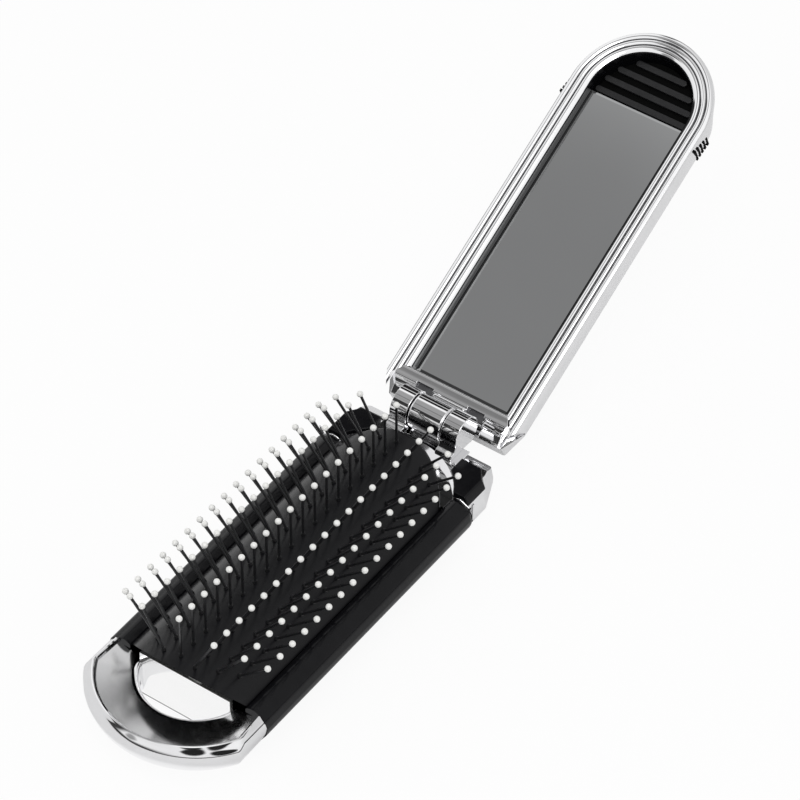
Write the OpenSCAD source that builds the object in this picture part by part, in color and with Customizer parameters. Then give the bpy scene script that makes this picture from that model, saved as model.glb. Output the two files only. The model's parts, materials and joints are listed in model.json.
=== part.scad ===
// Folding hairbrush with a mirror in its cover.
// Frame: +Z up, the brush lies flat on its back on Z = 0 and points towards -Y,
// the hinge and the cover are towards +Y, X is across. Origin: on the flat back,
// under the middle pin of the centre row. All sizes in millimetres.

/* [Brush body] */
// Width across the widest part of the brush body
body_w = 36.7; // [36.4:0.1:37.6]
// Width of the flat back that the brush rests on
back_w = 26.6; // [25:0.1:27.4]
// Height of the widest part above the back
belly_z = 8.8; // [8.4:0.1:9.4]
// Height of the top of the side rails
rail_z = 12; // [11.8:0.1:12.4]
// Height of the crown of the side rails above the edge of the pad
rail_crown = 0.7; // [0.4:0.05:0.9]
// Length of the black part of the body
body_len = 66; // [65:0.5:67]
// Y of the body's end at the finger loop
body_y0 = -32.25; // [-32.6:0.05:-32]
// Wall of the moulded body
wall = 1; // [0.8:0.05:1.1]
// Thickness of the back plate
back_t = 1.4; // [1.2:0.1:1.8]
// Clearance between pieces that are fitted together
fit = 0.1; // [0.05:0.05:0.15]

/* [Pin pad] */
// Width of the side rail beside the pad
rail_w = 4.95; // [4.8:0.05:5.1]
// Height of the top of the arch
pad_top_z = 19.1; // [18.8:0.1:19.4]
// Thickness of the rubber
pad_t = 1.5; // [1.3:0.1:1.6]
// How far the arch overhangs the finger loop
pad_overhang = 5.2; // [4.5:0.1:5.8]
// How much larger than half the pad the radius of its round end is, seen from above
pad_end_extra = 2; // [1.8:0.1:2.2]
// Y of the pad's rounded end by the hinge
pad_end_y = 37.1; // [36.8:0.1:37.3]

/* [Pins] */
// Distance between the pins of a row
pin_pitch = 3.75; // [3.6:0.05:3.8]
// Diameter of the pin wire
pin_d = 0.54; // [0.45:0.01:0.6]
// Diameter of the ball tips
tip_d = 1.26; // [1.1:0.02:1.3]
// Diameter of the collar at the foot of a pin
collar_d = 0.84; // [0.7:0.02:0.9]
// Depth that a pin reaches below the top of the pad
root_len = 2; // [1.8:0.05:2.2]
// Width of the strip that carries a row of pins
strip_w = 1.5; // [1.2:0.1:1.7]
// Thickness of that strip
strip_t = 0.8; // [0.6:0.1:0.9]

/* [Finger loop] */
// Y of the outer end of the loop
loop_end_y = -50.4; // [-51:0.1:-50]
// Radius of the loop's outer wall, seen from above
loop_outer_r = 22.4; // [22:0.1:22.8]
// Radius of the ridge on top of the loop
ridge_r = 19; // [18.8:0.1:19.2]
// Y of the end of the ridge
ridge_end_y = -48.75; // [-48.9:0.05:-48.5]
// Radius of the round side of the finger hole
hole_r = 10.6; // [10.2:0.1:10.8]
// Y of the centre of the finger hole's round side
hole_y = -29.5; // [-29.6:0.05:-29.2]
// Height of the lip round the finger hole
lip_z = 10; // [9.7:0.1:10.1]
// Radius of the lip's rounding
lip_r = 1.4; // [1:0.1:1.8]
// Height of the straight wall across the hole, under the pad
cross_wall_z = 12.6; // [12:0.1:12.7]
// Y of the face of that wall
cross_wall_y = -33.1; // [-33.2:0.05:-33]
// Height of the underside of the loop at its end
loop_under_z = 4.8; // [4.4:0.1:5.4]

/* [Hinge] */
// Y of the hinge axis
hinge_y = 46; // [45.8:0.1:46.4]
// Height of the hinge axis
hinge_z = 15.75; // [15.6:0.05:15.9]
// Radius of the hinge knuckles
knuckle_r = 3.75; // [3.6:0.05:3.8]
// Width of the middle knuckle, which belongs to the cover
mid_knuckle_w = 7.7; // [7:0.1:8]
// Width of each side knuckle, which belongs to the brush
side_knuckle_w = 3.85; // [3.6:0.05:4.2]
// Bevel of the knuckles' edges
knuckle_edge = 0.3; // [0.2:0.05:0.4]
// Gap between two knuckles
knuckle_gap = 0.2; // [0.15:0.05:0.3]
// Diameter of the hinge pin
hinge_pin_d = 2.2; // [1.8:0.1:2.4]
// Radial running clearance of the middle knuckle on the pin
pin_clearance = 0.05; // [0.03:0.01:0.08]
// Angle of the cover above flat, as it is drawn
cover_angle = 26.8; // [0:0.1:120]

/* [Hinge block] */
// Height of the block's top, under the black caps
block_z = 12.6; // [12.4:0.1:12.7]
// Thickness of the black caps
cap_t = 0.9; // [0.7:0.1:1]
// Radius of the pocket round the end of the pad
pocket_r = 15.1; // [15:0.1:15.2]
// Y of the centre of that pocket
pocket_y = 26.6; // [26.4:0.1:26.7]
// Y of the block's far end
block_end_y = 45.2; // [44.9:0.1:45.4]

/* [Cover] */
// Distance from the hinge axis to the centre of the round end
cover_len = 76.1; // [75.9:0.1:77]
// Radius of the outer edge of the front rim
rim_outer_r = 15.2; // [15:0.1:15.4]
// Radius of the inner edge of the front rim
rim_inner_r = 11.3; // [11.2:0.1:11.5]
// Radius of the widest part of the cover's side
cover_r = 16; // [15.9:0.05:16.2]
// Distance from the hinge axis down to the outer edge of the rim
rim_h = 2.75; // [2.6:0.05:2.9]
// Distance from the hinge axis down to the mirror
mirror_h = 5.4; // [5.2:0.05:5.5]
// Distance from the hinge axis down to the cover's back
cover_back_h = 9; // [8.8:0.1:9.4]
// Wall of the cover's back
cover_wall = 1.1; // [0.9:0.1:1.3]
// Height of the seam between the rim frame and the back shell, below the axis
seam_h = 5.4; // [5.2:0.05:5.6]

/* [Mirror] */
// Width of the mirror
mirror_w = 21; // [20.6:0.1:21.2]
// Distance from the hinge axis to the near edge of the mirror
mirror_v0 = 8.5; // [8.3:0.1:9]
// Length of the mirror
mirror_len = 66.9; // [66:0.1:67]
// Thickness of the glass
glass_t = 1.1; // [0.9:0.1:1.2]
// Width of the ground bevel round the glass
bevel_w = 0.5; // [0.3:0.1:0.7]

/* [Grips] */
// Distance between the ribs of the front grip
rib_pitch = 2.74; // [2.6:0.02:2.8]
// Width of a rib of the front grip
rib_w = 1.35; // [1.1:0.05:1.5]
// Number of ribs in the front grip
rib_count = 4; // [3:1:4]
// Distance between the teeth of the back grip
tooth_pitch = 1.09; // [1:0.01:1.15]
// Number of teeth of the back grip
tooth_count = 5; // [4:1:5]

/* [Hidden] */
$fn = 64;
far = 100;

// ---- outlines ----------------------------------------------------------------------

function unit(v) = v / norm(v);

// The arc that rounds the corner b between a and c with radius r, in n steps.
function corner_arc(a, b, c, r, n) =
    let (u = unit(a - b), w = unit(c - b))
    let (half = acos(u * w) / 2)
    let (centre = b + unit(u + w) * r / sin(half))
    let (from = b + u * r / tan(half) - centre)
    let (to = b + w * r / tan(half) - centre)
    let (start = atan2(from.y, from.x))
    let (turn = (atan2(to.y, to.x) - start + 540) % 360 - 180)
    [for (i = [0:n]) centre + r * [cos(start + turn * i / n), sin(start + turn * i / n)]];

// A closed outline of [x, y, corner radius] points with its corners rounded.
function rounded(corners, n = 6) = [
    for (i = [0:len(corners) - 1])
        let (count = len(corners))
        let (a = corners[(i + count - 1) % count])
        let (b = corners[i])
        let (c = corners[(i + 1) % count])
        for (p = b[2] == 0 ? [[b.x, b.y]]
            : corner_arc([a.x, a.y], [b.x, b.y], [c.x, c.y], b[2], n)) p
];

// Points on a shallow bead that swells by crown between a and b, without the end b.
function bead(a, b, crown, n = 4) = [
    for (i = [0:n - 1]) a + (b - a) * i / n + [0, crown * sin(180 * i / n)]
];

function both_sides(half) = concat(half, [for (i = [len(half) - 1:-1:0]) [-half[i].x, half[i].y]]);

// The same for corners with a radius.
function both_corners(half) = concat(
    half,
    [for (i = [len(half) - 1:-1:0]) [-half[i].x, half[i].y, half[i].z]]
);

// Stands an X-Z outline up and runs it along Y from y0 to y1.
module along_y(y0, y1) {
    translate([0, y1, 0])
        rotate([90, 0, 0])
            linear_extrude(y1 - y0)
                children();
}

// Turns a Y-Z outline so that it runs across, from x0 to x1.
module across_x(x0, x1) {
    translate([x0, 0, 0])
        rotate([90, 0, 90])
            linear_extrude(x1 - x0)
                children();
}

module span(low, high) {
    translate(low)
        cube(high - low);
}

// ---- shared places of the brush half -------------------------------------------------

body_y1 = body_y0 + body_len;
half_w = body_w / 2;
half_back = back_w / 2;
pad_edge_z = rail_z;
rail_inner_x = half_w - rail_w;
pad_half_w = rail_inner_x - fit;
pad_rise = pad_top_z - pad_edge_z;
pad_r = (pad_half_w * pad_half_w + pad_rise * pad_rise) / (2 * pad_rise);
pad_centre_z = pad_top_z - pad_r;
pad_end_r = pad_half_w + pad_end_extra;
shelf_z = pad_edge_z - 1.1;
flange_t = 0.9;
flange_reach = 1.5;
pad_end_centre_y = pad_end_y - pad_end_r;

// Height of the pad's top surface at a distance x from the middle.
function pad_z(x) = pad_centre_z + sqrt(pad_r * pad_r - x * x);

// The right half of the body's section, from the flat back up to the edge of the pad.
body_edge = [
    [half_back, 0, 1.6],
    [half_w, belly_z - 0.9, 2.5],
    [half_w, belly_z + 0.5, 1.5],
    [half_w - 0.45, rail_z - 0.7, 1.6],
    [half_w - 3.4, rail_z + rail_crown + 0.25, 2.2],
    [rail_inner_x, rail_z, 0]
];

module body_section() {
    polygon(rounded(both_corners(body_edge)));
}

// The hollow under the rails, which follows the slanted sides at one wall's distance.
cavity_low_x = half_back - wall + 0.9;
cavity_high_x = half_w - wall - 1.4;
cavity_corners = [
    [cavity_low_x, back_t, 0],
    [cavity_high_x, shelf_z - 1.8, 0],
    [cavity_high_x, shelf_z, 0]
];

module cavity_section() {
    polygon(both_sides([for (p = cavity_corners) [p.x, p.y]]));
}

// ---- brush half: body ------------------------------------------------------------------

end_wall = 1.2;
end_wall_z = 6.6;
plate_half_w = half_back - 2.2;

module body_housing() {
    color([0.03, 0.03, 0.035])
    difference() {
        along_y(body_y0, body_y1)
            body_section();
        along_y(body_y0 + end_wall, body_y1 + 1)
            cavity_section();
        span([-rail_inner_x, body_y0 + end_wall, shelf_z - 1], [rail_inner_x, body_y1 + 1, far]);
        span([-rail_inner_x, body_y0 - 1, end_wall_z], [rail_inner_x, body_y1 + 1, far]);
        span([-plate_half_w, body_y0 + end_wall, -1], [plate_half_w, body_y1 + 1, back_t + 1]);
        pad_flange_room();
    }
}

// The groove under the rails that holds the edge of the rubber pad.
module pad_flange_room() {
    reach = pad_half_w + flange_reach + fit;
    span([-reach, body_y0 + end_wall, shelf_z - flange_t - 2 * fit], [reach, body_y1 + 1, shelf_z]);
}

screw_spots = [for (x = [-1, 1], y = [-1, 1]) [x * (plate_half_w - 2.5), y * 26]];
screw_head_d = 3;
screw_head_t = 0.7;
screw_d = 1.5;
screw_len = 3.4;
boss_d = 3.4;
spring_spots = [-18, 18];
spigot_d = 1.7;
spigot_len = 1.6;

module back_plate() {
    color([0.03, 0.03, 0.035])
    difference() {
        union() {
            span([fit - plate_half_w, body_y0 + end_wall + fit, 0],
                 [plate_half_w - fit, body_y1 - fit, back_t]);
            for (y = spring_spots)
                translate([0, y, back_t - 0.2])
                    cylinder(d = spigot_d, h = spigot_len + 0.2);
            for (spot = screw_spots)
                translate([spot.x, spot.y, back_t - 0.2])
                    cylinder(d = boss_d, h = screw_len - back_t + 0.6);
        }
        for (spot = screw_spots)
            translate([spot.x, spot.y, 0])
                screw_room(screw_head_d, screw_head_t, screw_d, screw_len);
    }
}

// A countersunk place for a small screw whose head is flush with Z = 0.
module screw_room(head_d, head_t, shank_d, length) {
    translate([0, 0, -1])
        cylinder(d = head_d + 2 * fit, h = head_t + 1.25 + fit);
    cylinder(d = shank_d + 2 * fit, h = length + fit);
}

// A small cross-head screw that points up, its head resting inside the recess.
module small_screw(head_d, head_t, shank_d, length) {
    difference() {
        union() {
            translate([0, 0, 0.25])
                cylinder(d = head_d, h = head_t);
            translate([0, 0, 0.25])
                cylinder(d = shank_d, h = length - 0.25);
        }
        for (turn = [0, 90])
            rotate(turn)
                span([-head_d / 3, -0.2, 0.2], [head_d / 3, 0.2, 0.6]);
    }
}

module back_screws() {
    color("silver")
    for (spot = screw_spots)
        translate([spot.x, spot.y, 0])
            small_screw(screw_head_d, screw_head_t, screw_d, screw_len);
}

// ---- brush half: finger loop -------------------------------------------------------------

loop_centre_y = loop_end_y + loop_outer_r;
ridge_y = ridge_end_y + ridge_r;
cross_wall_t = 0.8;
cross_wall_low_z = 1.5;
cross_wall_x = hole_r - 0.2;

// Half section of the loop's outer wall, turned about the loop's own centre.
loop_wall = [
    [0, 0, 0],
    [loop_outer_r - 5, 0, 3],
    [loop_outer_r - 0.1, belly_z - 0.8, 2],
    [loop_outer_r - 0.1, belly_z + 0.9, 0.8],
    [loop_outer_r - 1.65, rail_z, 0.35],
    [0, rail_z, 0]
];

// Side view of the loop: its underside rises from the flat back towards the end.
loop_side = [
    [body_y0, 0, 0],
    [body_y0 - 1.2, 0, 0],
    [body_y0 - 8, loop_under_z - 0.6, 6],
    [loop_end_y - 1, loop_under_z, 0],
    [loop_end_y - 1, far, 0],
    [body_y0, far, 0]
];

module loop_cone(low_r, low_y, low_z, high_r, high_y, high_z) {
    hull() {
        translate([0, low_y, low_z])
            cylinder(r = low_r, h = 0.01, $fn = 96);
        translate([0, high_y, high_z])
            cylinder(r = high_r, h = 0.01, $fn = 96);
    }
}

// Half section of the hole, its rim rounded over into the slope.
hole_wall = concat(
    [[0, -1], [hole_r, -1]],
    [for (angle = [0, 25, 50]) [hole_r + lip_r * (1 - cos(angle)), lip_z - lip_r * (1 - sin(angle))]],
    [[hole_r + lip_r, lip_z + lip_r / 10], [0, lip_z + lip_r / 10]]
);

module finger_loop() {
    color("silver")
    difference() {
        intersection() {
            along_y(loop_end_y - 1, body_y0)
                body_section();
            translate([0, loop_centre_y, 0])
                rotate_extrude($fn = 128)
                    polygon(rounded(loop_wall));
            across_x(-half_w - 1, half_w + 1)
                polygon(rounded(loop_side));
        }
        translate([0, hole_y, 0])
            rotate_extrude($fn = 96)
                polygon(hole_wall);
        loop_cone(hole_r + lip_r - 0.1, hole_y, lip_z, ridge_r, ridge_y, rail_z + 0.06);
    }
    color("silver")
        span(
            [-cross_wall_x, cross_wall_y, cross_wall_low_z],
            [cross_wall_x, cross_wall_y + cross_wall_t, cross_wall_z]
        );
}

// ---- brush half: hinge block ---------------------------------------------------------------

block_wide_y = 37.9;
block_end_x = half_w - 3.35;
cap_inner_x = 9.56;
cap_side_x = half_w - 2.3;
bracket_t = 0.5;

block_edge = [
    [half_back, 0, 1.6],
    [half_w, belly_z - 0.9, 1.6],
    [half_w, belly_z + 0.3, 1.2],
    [cap_side_x + 0.1, block_z, 0.4]
];

block_plan = [
    [half_w + 1, body_y1],
    [half_w + 1, block_wide_y - 1],
    [block_end_x, block_end_y],
    [-block_end_x, block_end_y],
    [-half_w - 1, block_wide_y - 1],
    [-half_w - 1, body_y1]
];

// The space of the pad's rounded end, seen from above, from y0 on.
module round_end(r, centre_y, y0, z0, z1) {
    intersection() {
        translate([0, centre_y, z0])
            cylinder(r = r, h = z1 - z0, $fn = 96);
        span([-far, y0, z0], [far, far, z1]);
    }
}

module hinge_block() {
    color("silver")
    difference() {
        intersection() {
            along_y(body_y1, block_end_y)
                polygon(rounded(both_corners(block_edge)));
            linear_extrude(far)
                polygon(block_plan);
            across_x(-far, far)
                polygon([[body_y1, 0], [block_end_y - 3, 0], [block_end_y, 3],
                         [block_end_y, far], [body_y1, far]]);
        }
        round_end(pocket_r, pocket_y, body_y1 - 1, shelf_z - fit, far);
        round_end(pad_end_r - 2, pad_end_centre_y, body_y1 - 1, end_wall_z, far);
        bracket_seat(0);
        barrel_room(mid_knuckle_w + 2 * knuckle_gap, knuckle_r + barrel_clearance);
    }
}

// The room round the hinge axis for knuckles up to radius r.
module barrel_room(w, r) {
    translate([-w / 2, hinge_y, hinge_z])
        rotate([0, 90, 0])
            cylinder(r = r, h = w);
}

// A knuckle of width w across X at y and z, with its two edges broken.
module barrel(w, y, z) {
    translate([0, y, z])
        rotate([0, 90, 0])
            rotate_extrude()
                polygon([
                    [0, -w / 2], [knuckle_r - knuckle_edge, -w / 2], [knuckle_r, knuckle_edge - w / 2],
                    [knuckle_r, w / 2 - knuckle_edge], [knuckle_r - knuckle_edge, w / 2], [0, w / 2]
                ]);
}

// The flat recess that the hinge bracket's plate lies in.
module bracket_seat(gap) {
    difference() {
        span([gap - cap_inner_x + 0.2, pocket_y, block_z - bracket_t], [cap_inner_x - 0.2 - gap, far, far]);
        translate([0, pocket_y, 0])
            cylinder(r = pocket_r + pocket_rim + gap, h = far, $fn = 96);
    }
}

pocket_rim = 0.6;
barrel_clearance = 0.4;
arm_back_y = hinge_y + 0.8;

module hinge_bracket() {
    color("silver")
    difference() {
        union() {
            intersection() {
                bracket_seat(fit);
                span([-far, 0, 0], [far, block_end_y, block_z]);
            }
            for (side = [-1, 1])
                translate([side * (mid_knuckle_w / 2 + knuckle_gap + side_knuckle_w / 2), 0, 0])
                    knuckle_arm();
        }
        barrel_room(mid_knuckle_w + 2 * knuckle_gap, knuckle_r + barrel_clearance);
        barrel_room(far, hinge_pin_d / 2);
    }
}

// One side knuckle, drawn about x = 0. Its foot reaches forward over the block's rim.
foot_y = hinge_y - knuckle_r - 1.65;
foot_step_y = foot_y + 1.4;

module knuckle_arm() {
    w = side_knuckle_w;
    barrel(w, hinge_y, hinge_z);
    across_x(-w / 2, w / 2)
        polygon([
            [foot_y, block_z + fit],
            [foot_step_y, block_z + fit],
            [foot_step_y, block_z - bracket_t / 2],
            [arm_back_y - 1.6, block_z - bracket_t / 2],
            [arm_back_y, hinge_z - knuckle_r + 0.2],
            [arm_back_y, hinge_z - 1],
            [hinge_y - knuckle_r + 0.2, hinge_z - 0.6],
            [foot_y + 1.3, block_z + 1.35],
            [foot_y + 0.4, block_z + 1.15],
            [foot_y, block_z + 0.8]
        ]);
}

module hinge_pin() {
    color("silver")
        barrel_room(mid_knuckle_w + 2 * (knuckle_gap + side_knuckle_w) - 0.4, hinge_pin_d / 2);
}

// The right-hand cap; its inner edge follows the pocket.
module cap_plate() {
    difference() {
        translate([0, 0, block_z])
            linear_extrude(cap_t)
                polygon([
                    [cap_inner_x, body_y1], [cap_side_x, body_y1], [cap_side_x, block_wide_y + 1.55],
                    [cap_side_x - 1.85, block_end_y - 3.2], [cap_inner_x, block_end_y - 3.1]
                ]);
        translate([0, pocket_y, 0])
            cylinder(r = pocket_r, h = far, $fn = 96);
    }
}

module cap_plate_right() {
    color([0.03, 0.03, 0.035])
        cap_plate();
}

module cap_plate_left() {
    color([0.03, 0.03, 0.035])
    mirror([1, 0, 0])
        cap_plate();
}

// ---- pins and pad --------------------------------------------------------------------------

// For the centre row, then the rows on each side outwards: how far across half the pad its
// foot is, how far out of the foot the ball tips stand, and how high they are.
foot_share = [0, 0.268, 0.526, 0.739];
tip_out = [0, 4.69, 6.16, 6.56];
tip_z = [29.06, 27.6, 24.94, 21.94];
foot_x = [for (share = foot_share) share * pad_half_w];
tip_x = foot_x + tip_out;

// Y of a pin near the middle of each row, and how far the row may reach each way from it.
// The number of pins follows from the pitch.
row_mid_y = [0, -0.45, 2.06, 4.65];
row_front = [34, 34, 34, 34];
row_back = [34, 34, 30.5, 26.75];
pins_before = [for (reach = row_front) floor(reach / pin_pitch)];
pins_after = [for (reach = row_back) floor(reach / pin_pitch)];
row_count = [for (row = [0:3]) pins_before[row] + 1 + pins_after[row]];

strip_end = 0.75;
strip_clearance = 0.33;
function foot(row) = [foot_x[row], pad_z(foot_x[row])];
function tip(row) = [tip_x[row], tip_z[row]];
function lean(row) = atan2(tip(row).x - foot(row).x, tip(row).y - foot(row).y);
function pin_len(row) = norm(tip(row) - foot(row));
function pin_y(row, i) = row_mid_y[row] + (i - pins_before[row]) * pin_pitch;

// Puts its children at the foot of each pin of a row, with +Z along the wire.
module at_pins(row, side) {
    for (i = [0:row_count[row] - 1])
        translate([side * foot(row).x, pin_y(row, i), foot(row).y])
            rotate([0, side * lean(row), 0])
                children();
}

module pin_row(row, side) {
    color([0.03, 0.03, 0.035]) {
        at_pins(row, side) {
            translate([0, 0, -root_len])
                cylinder(d = pin_d, h = root_len + pin_len(row) - tip_d / 2 + 0.1, $fn = 16);
            cylinder(d = collar_d, h = 0.5, $fn = 16);
        }
        pin_strip(row, side);
    }
}

// The strip under the pad that carries the pins of a row, all but those over the hole.
module pin_strip(row, side) {
    last = row_count[row] - 1;
    first_y = max(pin_y(row, 0) - strip_end, cross_wall_y + cross_wall_t + strip_clearance);
    translate([side * foot(row).x, 0, foot(row).y])
        rotate([0, side * lean(row), 0])
            span([-strip_w / 2, first_y, -root_len - strip_t + 0.2],
                 [strip_w / 2, pin_y(row, last) + strip_end, -root_len + 0.2]);
}

module pin_tips(row, side) {
    color([0.95, 0.95, 0.93])
    at_pins(row, side)
        difference() {
            translate([0, 0, pin_len(row)])
                sphere(d = tip_d, $fn = 24);
            cylinder(d = pin_d + 0.02, h = pin_len(row) - tip_d / 2 + 0.12, $fn = 16);
        }
}

module pad_section(r, reach) {
    intersection() {
        translate([0, pad_centre_z])
            circle(r = r, $fn = 128);
        translate([-reach, pad_edge_z])
            square([2 * reach, far]);
    }
}

pad_lean_run = pad_overhang / pad_rise;
pad_y0 = body_y0 + 0.5;

module pin_pad() {
    color([0.04, 0.04, 0.045])
    difference() {
        union() {
            intersection() {
                along_y(pad_y0 - pad_overhang, pad_end_y)
                    pad_section(pad_r, pad_half_w);
                pad_plan(0);
            }
            pad_foot();
        }
        intersection() {
            along_y(pad_y0 - pad_overhang - 1, pad_end_y)
                translate([0, pad_centre_z])
                    circle(r = pad_r - pad_t, $fn = 128);
            union() {
                pad_plan(pad_t);
                span([-far, pad_y0 - far, 0], [far, body_y1 - 12, far]);
            }
        }
        across_x(-far, far)
            polygon([[pad_y0, pad_edge_z], [pad_y0 - far * pad_lean_run, pad_edge_z + far],
                     [-far, far], [-far, 0], [pad_y0, 0]]);
        for (row = [0:3], side = [-1, 1])
            if (row > 0 || side > 0)
                at_pins(row, side)
                    translate([0, 0, -root_len - 1])
                        cylinder(d = collar_d + 2 * fit, h = root_len + 2, $fn = 16);
    }
}

// The pad's outline from above, drawn in by inset, with its round end by the hinge.
module pad_plan(inset) {
    union() {
        span([-pad_half_w - 1, -far, 0], [pad_half_w + 1, body_y1 - 4, far]);
        round_end(pad_end_r - inset, pad_end_centre_y, body_y1 - 5, 0, far);
    }
}

// The pad's edge: a lip down to the groove and a flange that is held under the rails.
module pad_foot() {
    for (side = [0, 1])
        mirror([side, 0, 0]) {
            along_y(pad_y0, body_y1 - 1)
                polygon([
                    [pad_half_w - 1.6, shelf_z - flange_t - fit], [pad_half_w, shelf_z - flange_t - fit],
                    [pad_half_w, pad_edge_z + 0.01], [pad_half_w - 1.6, pad_edge_z + 0.01]
                ]);
            along_y(body_y0 + end_wall + fit, body_y1 - 1)
                polygon([
                    [pad_half_w - 1, shelf_z - flange_t - fit],
                    [pad_half_w + flange_reach, shelf_z - flange_t - fit],
                    [pad_half_w + flange_reach, shelf_z - fit],
                    [pad_half_w - 1, shelf_z - fit]
                ]);
        }
    difference() {
        round_end(pad_end_r, pad_end_centre_y, body_y1 - 1, shelf_z, pad_edge_z + 0.01);
        round_end(pad_end_r - pad_t, pad_end_centre_y, body_y1 - 2, 0, far);
    }
}

lifter_w = 2.8;
lifter_t = 1;
lifter_z = pad_top_z - root_len - strip_t + 0.2 - fit;

module pad_lifter() {
    color([0.85, 0.85, 0.82]) {
        span(
            [-lifter_w / 2, pin_y(0, 1), lifter_z - lifter_t],
            [lifter_w / 2, pin_y(0, row_count[0] - 2), lifter_z]
        );
        for (y = spring_spots)
            translate([0, y, lifter_z - lifter_t - spigot_len])
                cylinder(d = spigot_d, h = spigot_len + 0.2);
    }
}

spring_r = 1.25;
wire_r = 0.22;
spring_turns = 6;
ring_sides = 6;
rings_per_turn = 14;

// A closed tube that climbs along a helix, for one compression spring.
module spring(height) {
    steps = spring_turns * rings_per_turn;
    rise = (height - 2 * wire_r) / steps;
    points = [
        for (i = [0:steps], k = [0:ring_sides - 1])
            let (turn = 360 * i / rings_per_turn, around = 360 * k / ring_sides)
            let (reach = spring_r + wire_r * cos(around))
            [reach * cos(turn), reach * sin(turn), wire_r + rise * i + wire_r * sin(around)]
    ];
    sides = [
        for (i = [0:steps - 1], k = [0:ring_sides - 1])
            let (a = i * ring_sides + k, b = i * ring_sides + (k + 1) % ring_sides)
            [a, a + ring_sides, b + ring_sides, b]
    ];
    caps = [
        [for (k = [0:ring_sides - 1]) k],
        [for (k = [ring_sides - 1:-1:0]) steps * ring_sides + k]
    ];
    polyhedron(points, concat(sides, caps));
}

module lift_springs() {
    color("silver")
    for (y = spring_spots)
        translate([0, y, back_t + fit])
            spring(lifter_z - lifter_t - back_t - 2 * fit);
}

// ---- cover -----------------------------------------------------------------------------------
// The cover's pieces are drawn flat, with the hinge axis at the origin, +Y along the
// cover and +Z out of the mirror, and are then turned up to the angle of the cover.

module on_cover() {
    translate([0, hinge_y, hinge_z])
        rotate([cover_angle, 0, 0])
            children();
}

cover_near = 1.3;
cover_edge_low = cover_r - 3;

// Half section of the rim frame: three beads between the two edges, then the side.
rim_slope = 0.4;
rim_band = (rim_outer_r - rim_inner_r) / 3;
function rim_point(i) = [rim_inner_r + i * rim_band, -rim_h - rim_slope * (1 - i / 3)];
frame_outline = concat(
    [[rim_inner_r, -seam_h]],
    bead(rim_point(0), rim_point(1), 0.22),
    bead(rim_point(1), rim_point(2), 0.28),
    bead(rim_point(2), rim_point(3), 0.3),
    [rim_point(3), [rim_outer_r + 0.35, -rim_h - 0.7], [cover_r, -seam_h + 0.5], [cover_r, -seam_h]]
);

// Half section of the back shell, outside and inside.
shell_outline = rounded([
    [0, -cover_back_h, 0],
    [cover_edge_low, -cover_back_h, 2.5],
    [cover_r, -seam_h - 0.7, 0.8],
    [cover_r, -seam_h, 0],
    [0, -seam_h, 0]
]);
shell_hollow = [
    [0, -cover_back_h + cover_wall],
    [cover_edge_low - 0.6, -cover_back_h + cover_wall],
    [cover_r - cover_wall - 0.8, -seam_h - 0.9],
    [cover_r - cover_wall - 0.8, 1],
    [0, 1]
];

// Runs a half section along both straight sides and round the far end.
module round_run(y0) {
    for (side = [0, 1])
        mirror([side, 0, 0])
            along_y(y0, cover_len)
                children();
    translate([0, cover_len, 0])
        rotate_extrude(angle = 180, $fn = 96)
            children();
}

// Cuts the cover's near corners back towards the hinge.
module near_corners() {
    for (side = [0, 1])
        mirror([side, 0, 0])
            translate([0, 0, -far / 2])
                linear_extrude(far)
                    polygon([[cover_r + 1, 6.6 + 1.9], [cover_r - 2.7, cover_near + 0.1],
                             [cover_r - 3.4, cover_near - 1], [cover_r + 1, cover_near - 1]]);
}

bar_v = [7.76, 5.8, 4.7, 3.56];
bar_plan = [
    [rim_inner_r + 0.5, bar_v[0]], [rim_outer_r - 1.7, bar_v[1]],
    [rim_outer_r - 2.2, bar_v[2]], [rim_outer_r - 3.3, bar_v[3]]
];
bar_top_h = 2.2;
bar_low_h = 3.5;

module bar_room() {
    translate([0, 0, -seam_h])
        linear_extrude(far)
            polygon(both_sides([
                [bar_plan[3].x + fit, cover_near - 2], [bar_plan[2].x + fit, bar_v[2]],
                [bar_plan[1].x + fit, bar_v[1] + fit], [bar_plan[0].x + fit, bar_v[0] + fit]
            ]));
}

module cover_frame() {
    color("silver")
    on_cover() {
        difference() {
            round_run(cover_near)
                polygon(frame_outline);
            near_corners();
            bar_room();
        }
        for (side = [0, 1])
            mirror([side, 0, 0])
                bar_lip();
    }
}

// The low lip under the bar, from the middle knuckle's arm out to the side of the frame.
module bar_lip() {
    across_x(mid_knuckle_w / 2 + knuckle_gap, cover_r - 3.2)
        polygon([
            [cover_near, -seam_h], [cover_near, -seam_h + 0.8],
            [bar_plan[3].y - fit, -bar_low_h - 0.15], [bar_plan[3].y - fit, -seam_h]
        ]);
}

module cover_shell() {
    color("silver")
    on_cover()
        difference() {
            round_run(cover_near)
                polygon(shell_outline);
            difference() {
                round_run(cover_near + cover_wall)
                    polygon(shell_hollow);
                span([-far, cover_near, -far], [far, 3.4, far]);
            }
            near_corners();
            back_grip_room(0);
            across_x(-far, far)
                polygon([[cover_near - 1, -seam_h - 0.2], [cover_near - 1, 0],
                         [far, 0], [far, -seam_h], [cover_near + 1.6, -seam_h]]);
        }
}

// The far end of the back, which the black back grip takes up.
grip_v0 = 72.4;
grip_depth = 0.8;

module back_grip_room(gap) {
    difference() {
        translate([0, 0, -cover_back_h - 1])
            linear_extrude(cover_back_h + 1 - seam_h - 0.6 - gap)
                polygon([[-far, grip_v0 + gap], [far, grip_v0 + gap], [far, far], [-far, far]]);
        round_run(grip_v0 - 1)
            offset_shell(grip_depth - gap);
    }
}

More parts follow.
